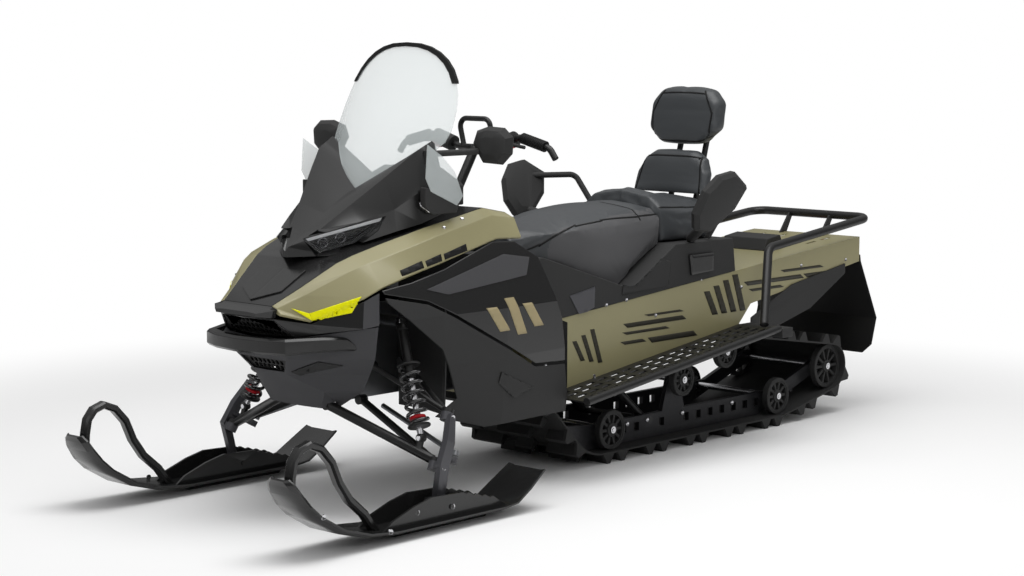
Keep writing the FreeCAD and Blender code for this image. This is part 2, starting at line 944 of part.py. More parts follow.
def ski_sole_stations():
    front_shares = [
        (1.0, 1.0, 0.42), (0.985, 0.92, 0.66), (0.95, 0.79, 0.82), (0.88, 0.61, 0.93), (0.78, 0.44, 0.98),
        (0.55, 0.19, 1.0), (0.28, 0.05, 1.0), (0.0, 0.0, 1.0),
    ]
    rear_shares = [(0.0, 0.0, 1.0), (0.3, 0.08, 1.0), (0.62, 0.48, 0.98), (1.0, 1.0, 0.88)]
    front_run = ski_front_reach - ski_flat_front
    rise = ski_tip_rise - ski_sole_z
    front = [
        (ski_pivot_x + ski_flat_front + front_run * along, ski_sole_z + rise * up, wide)
        for along, up, wide in front_shares
    ]
    back_run = ski_rear_reach - ski_flat_rear
    back_rise = ski_tail_rise - ski_sole_z
    rear = [
        (ski_pivot_x - ski_flat_rear - back_run * along, ski_sole_z + back_rise * up, wide)
        for along, up, wide in rear_shares
    ]
    return front + rear


def ski_frames():
    stations = ski_sole_stations()
    last = len(stations) - 1
    frames = []
    for index, (x, z, wide) in enumerate(stations):
        ahead = stations[max(index - 1, 0)]
        behind = stations[min(index + 1, last)]
        run = vec(ahead[0] - behind[0], 0, ahead[1] - behind[1]).normalize()
        lift = vec(-run.z, 0, run.x)
        frames.append((vec(x, 0, z), lift, wide * ski_width / 2))
    return frames


def ski_sole():
    section_shares = [
        (-1.0, 1.0, 0.6), (-1.0, 1.0, 0.0), (-0.7, 0.0, 0.0), (0.7, 0.0, 0.0),
        (1.0, 1.0, 0.0), (1.0, 1.0, 0.6), (0.7, 0.0, 1.0), (-0.7, 0.0, 1.0),
    ]
    rings = []
    for foot, lift, half in ski_frames():
        ring = []
        for wide, edge, thick in section_shares:
            out = across * (ski_stance / 2 + half * wide)
            ring.append(foot.add(out).add(lift * (edge * ski_edge_rise + thick * ski_plate)))
        rings.append(ring)
    return corner_loft(rings)


def ski_wall_outline():
    floor_z = ski_sole_z + ski_plate / 2
    centre = ski_pivot_x + (ski_flat_front - ski_flat_rear) / 2
    edge_shares = [(1.0, 0.1), (0.86, 0.42), (0.52, 0.8), (0.24, 1.0), (-0.28, 0.94)]
    for index in range(ski_scallops):
        along = between(-0.32, -0.86, index / ski_scallops)
        up = between(0.86, 0.42, index / ski_scallops)
        edge_shares.append((along, up))
        edge_shares.append((along - 0.05, up + 0.03))
    edge_shares.append((-1.0, 0.1))
    outline = [(centre + ski_wall_run * along, floor_z + ski_wall_height * up) for along, up in edge_shares]
    return outline + [(centre - ski_wall_run, floor_z), (centre + ski_wall_run, floor_z)]


def make_ski():
    centre = ski_stance / 2
    keel_outline = [
        (ski_pivot_x + ski_flat_front, ski_sole_z + ski_plate / 2),
        (ski_pivot_x + ski_flat_front, ski_sole_z),
        (ski_pivot_x + ski_flat_front * 0.8, 0),
        (ski_pivot_x - ski_flat_rear * 0.9, 0),
        (ski_pivot_x - ski_flat_rear, ski_sole_z),
        (ski_pivot_x - ski_flat_rear, ski_sole_z + ski_plate / 2),
    ]
    half_keel = ski_keel_width / 2
    pieces = [ski_sole(), side_plate(keel_outline, centre - half_keel, centre + half_keel)]
    for side in (-1, 1):
        y = centre + side * ski_wall_offset
        pieces.append(side_plate(ski_wall_outline(), y - ski_wall / 2, y + ski_wall / 2))
    floor_z = ski_sole_z + ski_plate / 2
    saddle_top = ski_pivot_z + ski_bolt_radius * 2.5
    saddle_outline = [
        (ski_pivot_x + saddle_length / 2, floor_z),
        (ski_pivot_x + saddle_length / 4, saddle_top),
        (ski_pivot_x - saddle_length / 4, saddle_top),
        (ski_pivot_x - saddle_length / 2, floor_z),
    ]
    inner = leg_eye_width / 2 + saddle_gap
    for side in (-1, 1):
        low = centre + side * inner
        high = centre + side * (inner + saddle_wall)
        pieces.append(side_plate(saddle_outline, min(low, high), max(low, high)))
    reach = ski_wall_offset + ski_wall
    pieces.append(cross_rod(ski_pivot_x, ski_pivot_z, centre - reach, centre + reach, ski_bolt_radius))
    return joined(pieces)


def make_ski_loop():
    centre = ski_stance / 2
    path_shares = [
        (0.930, 0.62), (0.922, 1.0), (0.908, 1.19), (0.872, 1.31), (0.814, 1.362), (0.748, 1.29),
        (0.684, 1.10), (0.640, 0.83), (0.578, 0.587), (0.486, 0.37), (0.40, 0.06),
    ]
    points = [
        vec(ski_pivot_x + ski_front_reach * along, centre, ski_tip_rise * up) for along, up in path_shares
    ]
    section_shares = [
        (1.0, 0.5), (0.6, 1.0), (-0.6, 1.0), (-1.0, 0.5),
        (-1.0, -0.5), (-0.6, -1.0), (0.6, -1.0), (1.0, -0.5),
    ]
    rings = []
    for index, point in enumerate(points):
        before = points[max(index - 1, 0)]
        after = points[min(index + 1, len(points) - 1)]
        run = after.sub(before).normalize()
        lift = vec(-run.z, 0, run.x)
        rings.append([
            point.add(across * (wide * ski_loop_width / 2)).add(lift * (deep * ski_loop_depth / 2))
            for wide, deep in section_shares
        ])
    top = [foot.add(lift * ski_plate) for foot, lift, half in ski_frames()]
    upper = [(point.x, point.z) for point in top]
    past_x = upper[0][0] + overrun
    below = [(upper[-1][0], -overrun), (past_x, -overrun), (past_x, upper[0][1])]
    keep_out = side_plate(upper + below, centre - ski_width, centre + ski_width)
    return corner_loft(rings).cut(keep_out)


def lower_ball():
    return vec(lower_ball_x, lower_ball_y, lower_ball_z)


def upper_ball():
    return vec(upper_ball_x, upper_ball_y, upper_ball_z)


def kingpin_axis():
    return upper_ball().sub(lower_ball()).normalize()


def kingpin_sides():
    axis = kingpin_axis()
    outboard = across.sub(axis * across.dot(axis)).normalize()
    return outboard, outboard.cross(axis).normalize()


def steer_point():
    axis = kingpin_axis()
    return lower_ball().add(axis * (ball_boss_height / 2 + ball_eye_height + steer_arm_height * 2))


def make_spindle():
    low = lower_ball()
    high = upper_ball()
    axis = kingpin_axis()
    half = ball_boss_height / 2
    low_boss = Part.makeCylinder(ball_boss_radius, ball_boss_height, low.sub(axis * half), axis)
    high_boss = Part.makeCylinder(ball_boss_radius, ball_boss_height, high.sub(axis * half), axis)
    outboard, fore = kingpin_sides()
    middle = low.add(high) * 0.5
    offset = outboard * leg_offset
    depth = fore * (leg_depth / 2)
    back = outboard * (leg_thickness / 2)

    def ring(point, scale):
        return [
            point.add(depth * scale).add(back),
            point.sub(depth * scale).add(back),
            point.sub(depth * scale).sub(back),
            point.add(depth * scale).sub(back),
        ]

    eye_centre = vec(ski_pivot_x, ski_stance / 2, ski_pivot_z)
    eye_top = eye_centre.add(upward * leg_eye_radius)
    leg = corner_loft([
        ring(high.add(outboard * (ball_boss_radius * 0.8)).add(axis * half * 0.5), 0.6),
        ring(middle.add(offset), 0.9),
        ring(low.add(offset), 1.0),
        ring(eye_top, 0.9),
        ring(eye_centre, 0.7),
    ])
    eye_low = vec(ski_pivot_x, ski_stance / 2 - leg_eye_width / 2, ski_pivot_z)
    eye = Part.makeCylinder(leg_eye_radius, leg_eye_width, eye_low, across)
    web_half = axis * (half * 0.8)
    web_rings = []
    for point in (low, low.add(offset)):
        web_rings.append([
            point.add(depth * 0.8).add(web_half),
            point.sub(depth * 0.8).add(web_half),
            point.sub(depth * 0.8).sub(web_half),
            point.add(depth * 0.8).sub(web_half),
        ])
    web = corner_loft(web_rings)
    steer_level = steer_point()
    steer_tip = steer_level.sub(fore * steer_arm_length)
    steer_hub = steer_level.add(outboard * (leg_offset * 0.9))
    steer_bar = rod(steer_hub, steer_tip, steer_arm_height)
    steer_eye = Part.makeCylinder(
        steer_arm_radius, steer_arm_height * 2, steer_tip.sub(axis * steer_arm_height), axis
    )
    body = joined([low_boss, high_boss, leg, eye, web, steer_bar, steer_eye])
    stud_bore = ball_stud_radius + pin_clearance
    cuts = [
        rod(low.sub(axis * ball_boss_height), low.add(axis * ball_boss_height), stud_bore),
        rod(high.sub(axis * ball_boss_height), high.add(axis * ball_boss_height), stud_bore),
        cross_rod(
            ski_pivot_x, ski_pivot_z, eye_low.y - overrun, eye_low.y + leg_eye_width + overrun,
            ski_bolt_radius + pin_clearance,
        ),
    ]
    return body.cut(Part.makeCompound(cuts))


def arm_end(ball, axis):
    half = ball_boss_height / 2
    base = ball.add(axis * (half + pin_clearance))
    seat = base.add(axis * (ball_eye_height / 2))
    eye = Part.makeCylinder(ball_boss_radius, ball_eye_height, base, axis)
    stud = rod(ball.sub(axis * half), seat, ball_stud_radius)
    return eye, stud, seat


def lower_arm_inner_point(x):
    return vec(x, lower_arm_inner_y, lower_arm_inner_z)


def lower_arm_seat():
    seat = arm_end(lower_ball(), kingpin_axis())[-1]
    return seat.sub(across * (ball_boss_radius * 0.6))


def boss_room(ball, axis):
    half = ball_boss_height / 2 + pin_clearance
    radius = ball_boss_radius + panel_gap
    return Part.makeCylinder(radius, half * 2, ball.sub(axis * half), axis)


def make_lower_arm():
    low = lower_ball()
    axis = kingpin_axis()
    eye, stud = arm_end(low, axis)[:2]
    inboard_seat = lower_arm_seat()
    front = lower_arm_inner_point(lower_arm_front_x)
    rear = lower_arm_inner_point(lower_arm_rear_x)
    pieces = [
        eye,
        rod(front, inboard_seat, arm_tube_radius),
        rod(rear, inboard_seat, arm_tube_radius * 0.8),
    ]
    reach = arm_tube_radius
    for point in (front, rear):
        start = point.sub(forward * reach)
        pieces.append(Part.makeCylinder(arm_tube_radius, reach * 2, start, forward))
    mount = shock_mount()
    foot = arm_point(front, inboard_seat, shock_share())
    pieces.append(rod(foot, mount, shock_eye_radius * 0.8))
    return joined([joined(pieces).cut(boss_room(low, axis)), stud])


def shock_share():
    return (shock_low_y - lower_arm_inner_y) / (lower_ball_y - lower_arm_inner_y)


def arm_point(start, end, share):
    return start.add(end.sub(start) * share)


def shock_mount():
    front = lower_arm_inner_point(lower_arm_front_x)
    foot = arm_point(front, lower_arm_seat(), shock_share())
    return foot.add(upward * shock_low_lift).sub(forward * shock_low_back)


def make_upper_arm():
    high = upper_ball()
    axis = kingpin_axis()
    eye, stud, seat = arm_end(high, axis)
    inboard_seat = seat.sub(across * (ball_boss_radius * 0.6))
    front = vec(upper_arm_front_x, upper_arm_inner_y, upper_arm_inner_z)
    rear = vec(upper_arm_rear_x, upper_arm_inner_y, upper_arm_inner_z)
    pieces = [
        eye,
        rod(front, inboard_seat, upper_arm_tube_radius),
        rod(rear, inboard_seat, upper_arm_tube_radius),
    ]
    for point in (front, rear):
        start = point.sub(forward * arm_tube_radius)
        pieces.append(Part.makeCylinder(upper_arm_tube_radius * 1.3, arm_tube_radius * 2, start, forward))
    return joined([joined(pieces).cut(boss_room(high, axis)), stud])


def make_shock():
    low = shock_mount()
    high = vec(shock_top_x, shock_top_y, shock_top_z)
    length = high.sub(low).Length
    axis = high.sub(low).normalize()
    gap = shock_eye_radius * 0.8 + wheel_clearance
    base = low.add(axis * gap)
    body_end = low.add(axis * (length * 0.5))
    pieces = [
        rod(base, body_end, shock_rod_radius * 1.4),
        rod(body_end, high, shock_body_radius),
    ]
    spring_low = low.add(axis * (length * 0.1))
    spring_high = low.add(axis * (length * 0.62))
    for point in (spring_low, spring_high):
        collar_start = point.sub(axis * shock_wire_radius)
        collar_radius = shock_coil_radius + shock_wire_radius
        pieces.append(Part.makeCylinder(collar_radius, shock_wire_radius * 2, collar_start, axis))
    pieces.append(coil(spring_low, spring_high, axis))
    eye = Part.makeCylinder(
        shock_eye_radius, shock_eye_radius * 2, high.sub(forward * shock_eye_radius), forward
    )
    return joined(pieces + [eye])


def coil(low, high, axis):
    side = axis.cross(forward).normalize()
    front = side.cross(axis).normalize()
    steps = shock_coils * coil_corners
    rings = []
    for step in range(steps + 1):
        angle = 2 * math.pi * step / coil_corners
        out = side * math.cos(angle) + front * math.sin(angle)
        centre = low.add(high.sub(low) * (step / steps)).add(out * shock_coil_radius)
        rings.append([
            centre.add(out * shock_wire_radius),
            centre.add(axis * shock_wire_radius),
            centre.sub(out * shock_wire_radius),
            centre.sub(axis * shock_wire_radius),
        ])
    return corner_loft(rings)


def make_tie_rod():
    axis = kingpin_axis()
    outboard, fore = kingpin_sides()
    tip = steer_point().sub(fore * steer_arm_length)
    outer = tip.add(axis * (steer_arm_height + tie_rod_gap + tie_rod_radius))
    inner = vec(outer.x, tie_rod_inner_y, tie_rod_inner_z)
    eye = Part.makeCylinder(steer_arm_radius, tie_rod_radius * 2, outer.sub(axis * tie_rod_radius), axis)
    return joined([rod(inner, outer, tie_rod_radius), eye])


# Bulkhead and engine

def make_bulkhead():
    outline = [
        (bulkhead_front_x, bulkhead_low_z),
        (bulkhead_front_x - bulkhead_plate, bulkhead_high_z * 0.86),
        (shock_top_x + shock_eye_radius * 2, bulkhead_high_z),
        (bulkhead_rear_x, bulkhead_high_z),
        (bulkhead_rear_x, bulkhead_low_z),
    ]
    plate_y = lower_arm_inner_y - arm_tube_radius - pin_clearance
    left = side_plate(outline, plate_y - bulkhead_plate, plate_y)
    pieces = [left, mirrored(left)]
    for x in (bulkhead_front_x - bulkhead_plate * 3, bulkhead_rear_x):
        low = vec(x, -plate_y, bulkhead_low_z)
        high = vec(x + bulkhead_plate, plate_y, bulkhead_high_z * 0.86)
        pieces.append(block(low, high))
    floor_low = vec(tunnel_front_x, -plate_y, bulkhead_low_z)
    floor_high = vec(bulkhead_front_x, plate_y, bulkhead_low_z + bulkhead_plate)
    pieces.append(block(floor_low, floor_high))
    reach = shock_top_y - shock_eye_radius - pin_clearance
    tower = cross_rod(shock_top_x, shock_top_z, -reach, reach, shock_eye_radius * 1.2)
    pieces.append(tower)
    return joined(pieces)


def make_engine():
    low = vec(engine_x - engine_length / 2, -engine_width / 2, engine_low_z)
    high = vec(engine_x + engine_length / 2, engine_width / 2, engine_low_z + engine_height)
    return block(low, high)


# Body shell

def side_point(along, up):
    return (between(side_front_x, side_rear_x, along), between(side_low_z, side_high_z, up))


def side_skin(inward, outward):
    inset = side_panel_inset
    y_low = side_panel_y - inset * 1.2
    y_mid = side_panel_y
    y_top = side_panel_y - inset * 2.21
    bulge_shares = [(-0.05, 0.0), (0.12, 0.2), (0.3, 0.6), (0.62, 1.0), (1.0, 0.4), (1.05, 0.2)]
    rings = []
    for share, bulge in bulge_shares:
        x = between(side_front_x, side_rear_x, share)
        shift = inset * (bulge - 1)
        waist = [
            (y_top + shift, side_high_z + overrun),
            (y_mid + shift, between(side_low_z, side_high_z, 0.62)),
            (y_mid + shift, between(side_low_z, side_high_z, 0.36)),
            (y_low + shift, side_low_z - overrun),
        ]
        outline = [(y + outward, z) for y, z in waist] + [(y - inward, z) for y, z in reversed(waist)]
        rings.append([vec(x, y, z) for y, z in outline])
    return corner_loft(rings)


upper_panel_shares = [
    (0.04, 0.775), (0.18, 0.80), (0.34, 0.85), (0.60, 0.965), (0.72, 0.955), (0.84, 0.86),
    (0.94, 0.52), (0.965, 0.285), (0.79, 0.30), (0.36, 0.62), (0.24, 0.70), (0.05, 0.755),
]
lower_panel_shares = [
    (0.05, 0.745), (0.24, 0.69), (0.36, 0.61), (0.79, 0.29), (0.965, 0.275), (1.0, 0.10),
    (1.0, 0.0), (0.54, 0.0), (0.285, 0.10), (0.383, 0.18), (0.297, 0.45), (0.06, 0.71),
]


def make_side_panel():
    outline = [side_point(along, up) for along, up in upper_panel_shares]
    return side_skin(panel_wall, 0).common(side_plate(outline, 0, side_panel_y * 2))


def make_lower_panel():
    outline = [side_point(along, up) for along, up in lower_panel_shares]
    lowered = [(x, z - panel_gap) for x, z in outline[:5]] + outline[5:]
    return side_skin(panel_wall, 0).common(side_plate(lowered, 0, side_panel_y * 2))


def make_fender_liner():
    plan_shares = [(0.0, 0.0), (0.1, 0.45), (0.5, 0.8), (1.0, 1.0)]
    inner_y = lower_arm_inner_y - arm_tube_radius
    outer_y = side_panel_y
    front = [
        (between(liner_inner_x, liner_outer_x, back), between(inner_y, outer_y, wide))
        for back, wide in plan_shares
    ]
    rear = [(x - liner_wall, y + liner_wall / 2) for x, y in reversed(front)]
    wall = top_plate(front + rear, liner_low_z, liner_high_z)
    return wall.cut(side_skin(panel_wall + pin_clearance, side_panel_inset * 4))


def hood_row(row):
    along, inner, inner_up, crease, crease_up, outer, outer_up = row
    x = between(hood_front_x, hood_rear_x, along)
    inner_point = (hood_half_width * inner, hood_low_z + hood_rise * inner_up)
    crease_point = (hood_half_width * crease, hood_low_z + hood_rise * crease_up)
    outer_point = (hood_half_width * outer, hood_low_z + hood_rise * outer_up)
    return x, inner_point, crease_point, outer_point


hood_row_shares = [
    (0.0, 0.32, 0.15, 0.38, 0.13, 0.44, 0.08),
    (0.09, 0.41, 0.30, 0.50, 0.25, 0.58, 0.01),
    (0.225, 0.535, 0.53, 0.72, 0.465, 0.90, 0.225),
    (0.285, 0.585, 0.60, 0.785, 0.53, 0.965, 0.315),
    (0.40, 0.66, 0.70, 0.85, 0.62, 0.972, 0.395),
    (0.57, 0.76, 0.83, 0.91, 0.75, 0.98, 0.50),
    (0.86, 0.78, 0.98, 0.91, 0.91, 0.985, 0.69),
    (1.0, 0.75, 0.91, 0.87, 0.86, 0.96, 0.67),
]


def make_hood_panel():
    rings = []
    for row in hood_row_shares:
        x, inner, crease, outer = hood_row(row)
        outline = [
            inner,
            crease,
            outer,
            (outer[0] - panel_wall, outer[1] - panel_wall),
            (crease[0] - panel_wall, crease[1] - panel_wall * 2),
            (inner[0], inner[1] - hood_plate),
        ]
        rings.append([vec(x, y, z) for y, z in outline])
    return corner_loft(rings)


def make_hood():
    rise = nose_top_z - nose_low_z
    nose_rows_shares = [
        (1.0, 0.44, 0.50, 0.70, 0.42, 0.10),
        (0.34, 0.73, 0.84, 1.0, 0.70, 0.0),
        (0.0, 0.80, 1.0, 1.0, 0.78, 0.0),
    ]
    sections = []
    for along, flat, top, wide, brow, low in nose_rows_shares:
        x = hood_front_x + soft_gap + hood_nose_reach * along
        low_z = between(nose_low_z, nose_top_z, low)
        sections.append((x, [
            (0, nose_low_z + rise * top),
            (nose_half_width * flat, nose_low_z + rise * top),
            (nose_half_width * wide, nose_low_z + rise * brow),
            (nose_half_width * wide * 0.94, low_z),
            (0, low_z),
        ]))
    for row in hood_row_shares:
        x, inner = hood_row(row)[:2]
        half = inner[0] - soft_gap
        top = inner[1]
        low = nose_low_z if row == hood_row_shares[0] else top - hood_plate
        sections.append((x, [(0, top), (half * 0.8, top), (half, top), (half, low), (0, low)]))
    hood = ruled_body(sections)
    hood = largest(hood.cut(ruled_body(shroud_sections(0))))
    return hood.fuse(column_collar()).cut(column_bore(pin_clearance))


def column_collar():
    top, down = column_frame()
    start = top.add(down * (column_length() - collar_length))
    return Part.makeCylinder(column_radius + collar_wall, collar_length, start, down)


def fascia_stations():
    rows_shares = [
        (0.0, 0.0, 0.47, 0.208, 0.0, 0.015),
        (0.054, 0.361, 0.47, 0.265, 0.482, 0.057),
        (0.385, 0.586, 0.35, 0.508, 0.666, 0.136),
        (0.835, 0.912, 0.83, 0.796, 0.935, 0.236),
        (1.0, 0.976, 1.0, 0.969, 1.0, 0.300),
    ]
    stations = []
    for top_along, top_wide, top_up, low_along, low_wide, low_up in rows_shares:
        top = vec(
            between(fascia_front_x, fascia_rear_x, top_along),
            fascia_half_width * top_wide,
            between(fascia_low_z, fascia_high_z, top_up),
        )
        low = vec(
            between(fascia_front_x, fascia_rear_x, low_along),
            fascia_half_width * low_wide,
            between(fascia_low_z, fascia_high_z, low_up),
        )
        stations.append((top, low))
    return stations


def make_nose_fascia():
    rings = []
    for top, low in fascia_stations():
        aside = panel_wall if top.y > 0 else 0
        inward = vec(-panel_wall, -aside, 0)
        rings.append([top, low, low.add(inward), top.add(inward)])
    opening = upper_grille_outline(0)
    return half_body(rings).cut(front_plate(opening, belly_rear_x, fascia_front_x + overrun))


def upper_grille_outline(grow):
    half = upper_grille_half_width + grow
    high = upper_grille_high_z + grow
    low = upper_grille_low_z - grow
    return [(-half * 0.79, high), (half * 0.79, high), (half, low), (-half, low)]


def lower_grille_outline(grow):
    half = lower_grille_half_width + grow
    high = lower_grille_high_z + grow
    low = lower_grille_low_z - grow
    return [(-half, high), (half, high), (half * 0.66, low), (-half * 0.66, low)]


def belly_top(x):
    share = (belly_front_x - x) / (belly_front_x - belly_rear_x)
    return between(belly_front_top_z, belly_rear_top_z, share)


def belly_levels():
    rise = belly_rear_top_z - belly_low_z
    run = belly_front_x - belly_rear_x
    levels_shares = [
        (1.0, [(0.0, 0.0), (0.077, 0.446), (0.435, 0.679), (0.858, 1.0), (1.0, 0.0)]),
        (0.605, [(0.154, 0.0), (0.181, 0.354), (0.423, 0.565), (0.888, 0.929), (1.0, 0.0)]),
        (0.406, [(0.296, 0.0), (0.319, 0.229), (0.538, 0.40), (0.985, 0.78), (1.0, 0.0)]),
        (0.203, [(0.481, 0.0), (0.512, 0.179), (0.654, 0.446), (0.99, 0.68), (1.0, 0.0)]),
        (0.0, [(0.673, 0.0), (0.681, 0.149), (0.712, 0.351), (0.99, 0.385), (1.0, 0.0)]),
    ]
    levels = []
    for up, plan in levels_shares:
        z = belly_low_z + rise * up
        ring = [(belly_front_x - run * along, belly_half_width * wide) for along, wide in plan]
        levels.append([vec(x, y, belly_top(x) if up == 1.0 else z) for x, y in ring])
    return levels


def belly_solid(grow):
    rings = []
    for level in belly_levels():
        rings.append([point.add(vec(grow, grow if point.y > 0 else 0, 0)) for point in level])
    return half_body(rings)


def belly_hollow():
    levels = belly_levels()
    wall = belly_wall
    rings = []
    for index, (front, corner, side, rear, middle) in enumerate(levels):
        past = rear.sub(side) * 0.2
        ring = [
            front.sub(vec(wall, 0, 0)),
            corner.sub(vec(wall, wall, 0)),
            side.sub(vec(wall * 0.7, wall * 0.7, 0)),
            rear.add(past).sub(vec(wall * 0.7, wall * 0.7, 0)),
            middle.sub(vec(overrun * 2, 0, 0)),
        ]
        if index == 0:
            ring = [vec(point.x, point.y, belly_top(point.x) + overrun) for point in ring]
        else:
            lift = wall if index == len(levels) - 1 else 0
            ring = [vec(point.x, point.y, front.z + lift) for point in ring]
        rings.append(ring)
    return half_body(rings)


def make_belly_pan():
    pan = belly_solid(0).cut(belly_hollow())
    slot = lower_arm_slot()
    opening = front_plate(lower_grille_outline(0), belly_rear_x + belly_wall, belly_front_x + overrun)
    return pan.cut(Part.makeCompound([slot, mirrored(slot), opening]))


def lower_arm_slot():
    front = lower_arm_inner_point(lower_arm_front_x)
    seat = lower_arm_seat()
    radius = arm_tube_radius + panel_gap
    start = front.sub(forward * (arm_tube_radius + panel_gap))
    hub = Part.makeCylinder(radius, radius * 2, start, forward)
    return joined([hub, rod(front, arm_point(front, seat, 0.5), radius)])


def hex_cells(outline, x_low, x_high):
    half = max(y for y, z in outline)
    low = min(z for y, z in outline)
    high = max(z for y, z in outline)
    radius = (grille_cell - grille_bar) / math.sqrt(3)
    row_pitch = grille_cell * math.sqrt(3) / 2
    rows = int((high - low - radius * 2) / row_pitch) + 1
    first = (low + high - row_pitch * (rows - 1)) / 2
    columns = int(half / grille_cell)
    room = front_plate(outline, 0, grille_bar)
    cells = []
    for row in range(rows):
        shift = grille_cell / 2 if row % 2 else 0
        for column in range(-columns, columns):
            y = column * grille_cell + shift
            z = first + row_pitch * row
            corners = []
            for corner in range(6):
                angle = math.radians(60 * corner + 30)
                corners.append((y + radius * math.cos(angle), z + radius * math.sin(angle)))
            if all(room.isInside(vec(grille_bar / 2, y, z), tiny, True) for y, z in corners):
                cells.append(front_plate(corners, x_low, x_high))
    return Part.makeCompound(cells)


def grille_plate(front_top, front_low, outline, shift):
    high = max(z for y, z in outline)
    low = min(z for y, z in outline)
    slope = (front_top.x - front_low.x) / (front_top.z - front_low.z)
    top_x = front_top.x + slope * (high - front_top.z) - shift
    low_x = front_top.x + slope * (low - front_top.z) - shift
    tilt = [(top_x, high), (low_x, low), (low_x - grille_depth, low), (top_x - grille_depth, high)]
    half = max(y for y, z in outline)
    plate = side_plate(tilt, -half, half).common(front_plate(outline, low_x - overrun, top_x + overrun))
    return plate.cut(hex_cells(outline, low_x - overrun, top_x + overrun))


def make_nose_grille():
    middle, corner = fascia_stations()[:2]
    shift = panel_wall + middle[0].x - corner[0].x + soft_gap
    upper = grille_plate(middle[0], middle[1], upper_grille_outline(grille_bar), shift)
    pan = make_belly_pan()
    upper = largest(upper.cut(make_nose_fascia()).cut(pan))
    face_top, face_low = [level[:2] for level in belly_levels()[1:3]]
    shift = belly_wall + face_top[0].x - face_top[1].x + soft_gap
    lower = grille_plate(face_top[0], face_low[0], lower_grille_outline(grille_bar), shift)
    lower = largest(lower.cut(pan))
    return Part.makeCompound([upper, lower])


def make_front_bumper():
    rows_shares = [
        (0.0, 0.0, 0.0, 0.82), (0.05, 0.387, 0.0, 0.82), (0.1615, 0.644, 0.0, 0.84),
        (0.55, 0.832, 0.10, 0.86), (0.827, 0.951, 0.10, 0.80), (1.0, 1.0, 0.08, 0.26),
    ]
    path = []
    for along, wide, low, high in rows_shares:
        foot = vec(between(bumper_front_x, bumper_rear_x, along), bumper_half_width * wide, 0)
        low_z = between(bumper_low_z, bumper_high_z, low)
        path.append((foot, low_z, between(bumper_low_z, bumper_high_z, high)))
    rings = []
    for index, (foot, low, high) in enumerate(path):
        before = path[max(index - 1, 0)][0]
        after = path[min(index + 1, len(path) - 1)][0]
        run = after.sub(before).normalize() if index else across
        outward = vec(run.y, -run.x, 0)
        edge = min(bumper_edge, (high - low) / 3)
        section = [
            (0, low + edge), (0, high - edge), (-edge, high), (-bumper_depth, high),
            (-bumper_depth, low + edge), (-edge, low),
        ]
        rings.append([foot.add(outward * deep).add(upward * z) for deep, z in section])
    return half_body(rings).cut(belly_solid(pin_clearance))


def shroud_sections(wall):
    rows_shares = [
        (0.0, 0.05, 0.03, 0.07, 0.05, 0.09, 0.04, 0.0),
        (0.19, 0.20, 0.27, 0.24, 0.42, 0.23, 0.46, 0.02),
        (0.38, 0.36, 0.44, 0.44, 0.63, 0.31, 0.68, 0.13),
        (0.60, 0.52, 0.66, 0.68, 0.84, 0.41, 0.88, 0.22),
        (0.80, 0.60, 0.84, 0.90, 0.97, 0.57, 0.98, 0.28),
        (0.96, 0.60, 0.88, 1.0, 1.0, 0.66, 1.0, 0.34),
        (1.0, 0.58, 0.87, 0.97, 1.0, 0.66, 1.0, 0.36),
    ]
    run = shroud_front_x - shroud_rear_x
    rise = shroud_peak_z - shroud_low_z
    half = shroud_half_width
    sections = []
    for along, top, ridge_y, ridge, brow_y, brow, low_y, low in rows_shares:
        x = shroud_front_x - run * along
        outline = [
            (0, shroud_low_z + rise * top - wall),
            (max(half * ridge_y - wall, 0), shroud_low_z + rise * ridge - wall * 1.4),
            (max(half * brow_y - wall, 0), shroud_low_z + rise * brow),
            (max(half * low_y - wall, 0), shroud_low_z + rise * low + wall),
            (0, shroud_low_z + rise * low + wall),
        ]
        sections.append((x, outline))
    return sections


def make_shroud():
    solid = ruled_body(shroud_sections(0))
    hollow = shroud_sections(panel_wall)[1:]
    last_x, last = hollow[-1]
    hollow[-1] = (last_x - overrun, last)
    shell = solid.cut(ruled_body(hollow))
    room = lamp_body(lamp_gap, lamp_window_reach)
    return shell.cut(Part.makeCompound([room, mirrored(room)]))


def lamp_body(grow, reach):
    lens_shares = [(0.0, 0.0), (1.0, 0.0), (0.86, 0.52), (0.54, 1.0), (0.10, 1.0)]
    lens_middle_share = 0.5
    inner = vec(lamp_inner_x, lamp_inner_y, lamp_inner_z)
    outer = vec(lamp_outer_x, lamp_outer_y, lamp_outer_z)
    low = vec(lamp_low_x, lamp_low_y, lamp_low_z)
    along = outer.sub(inner)
    normal = along.cross(low.sub(inner)).normalize()
    if normal.x < 0:
        normal = normal * -1
    down = normal.cross(along).normalize()
    if down.z > 0:
        down = down * -1
    height = low.sub(inner).dot(down)
    unit = along.Length
    span = along * (1 / unit)
    corners = []
    for far, deep in lens_shares:
        edge_far = far * unit + grow * math.copysign(1, far - lens_middle_share)
        edge_deep = deep * height + grow * math.copysign(1, deep - lens_middle_share)
        corners.append(inner.add(span * edge_far).add(down * edge_deep))
    front = [corner.add(normal * (lamp_proud + reach)) for corner in corners]
    back = [corner.sub(normal * (lamp_depth + grow)) for corner in corners]
    return corner_loft([front, back])


def make_headlamps():
    return both_sides(lamp_body(0, 0))


def arc_section(x_middle, z, half, sag, wall):
    back_x = x_middle - sag
    front_middle = vec(x_middle, 0, z)
    front_left = vec(back_x, half, z)
    front_right = vec(back_x, -half, z)
    inward = vec(-wall, 0, 0)
    outer = Part.Arc(front_right, front_middle, front_left).toShape()
    inner = Part.Arc(
        front_right.add(inward), front_middle.add(inward), front_left.add(inward)
    ).toShape()
    left = Part.LineSegment(front_left, front_left.add(inward)).toShape()
    right = Part.LineSegment(front_right.add(inward), front_right).toShape()
    return Part.Wire(Part.__sortEdges__([outer, left, inner, right]))


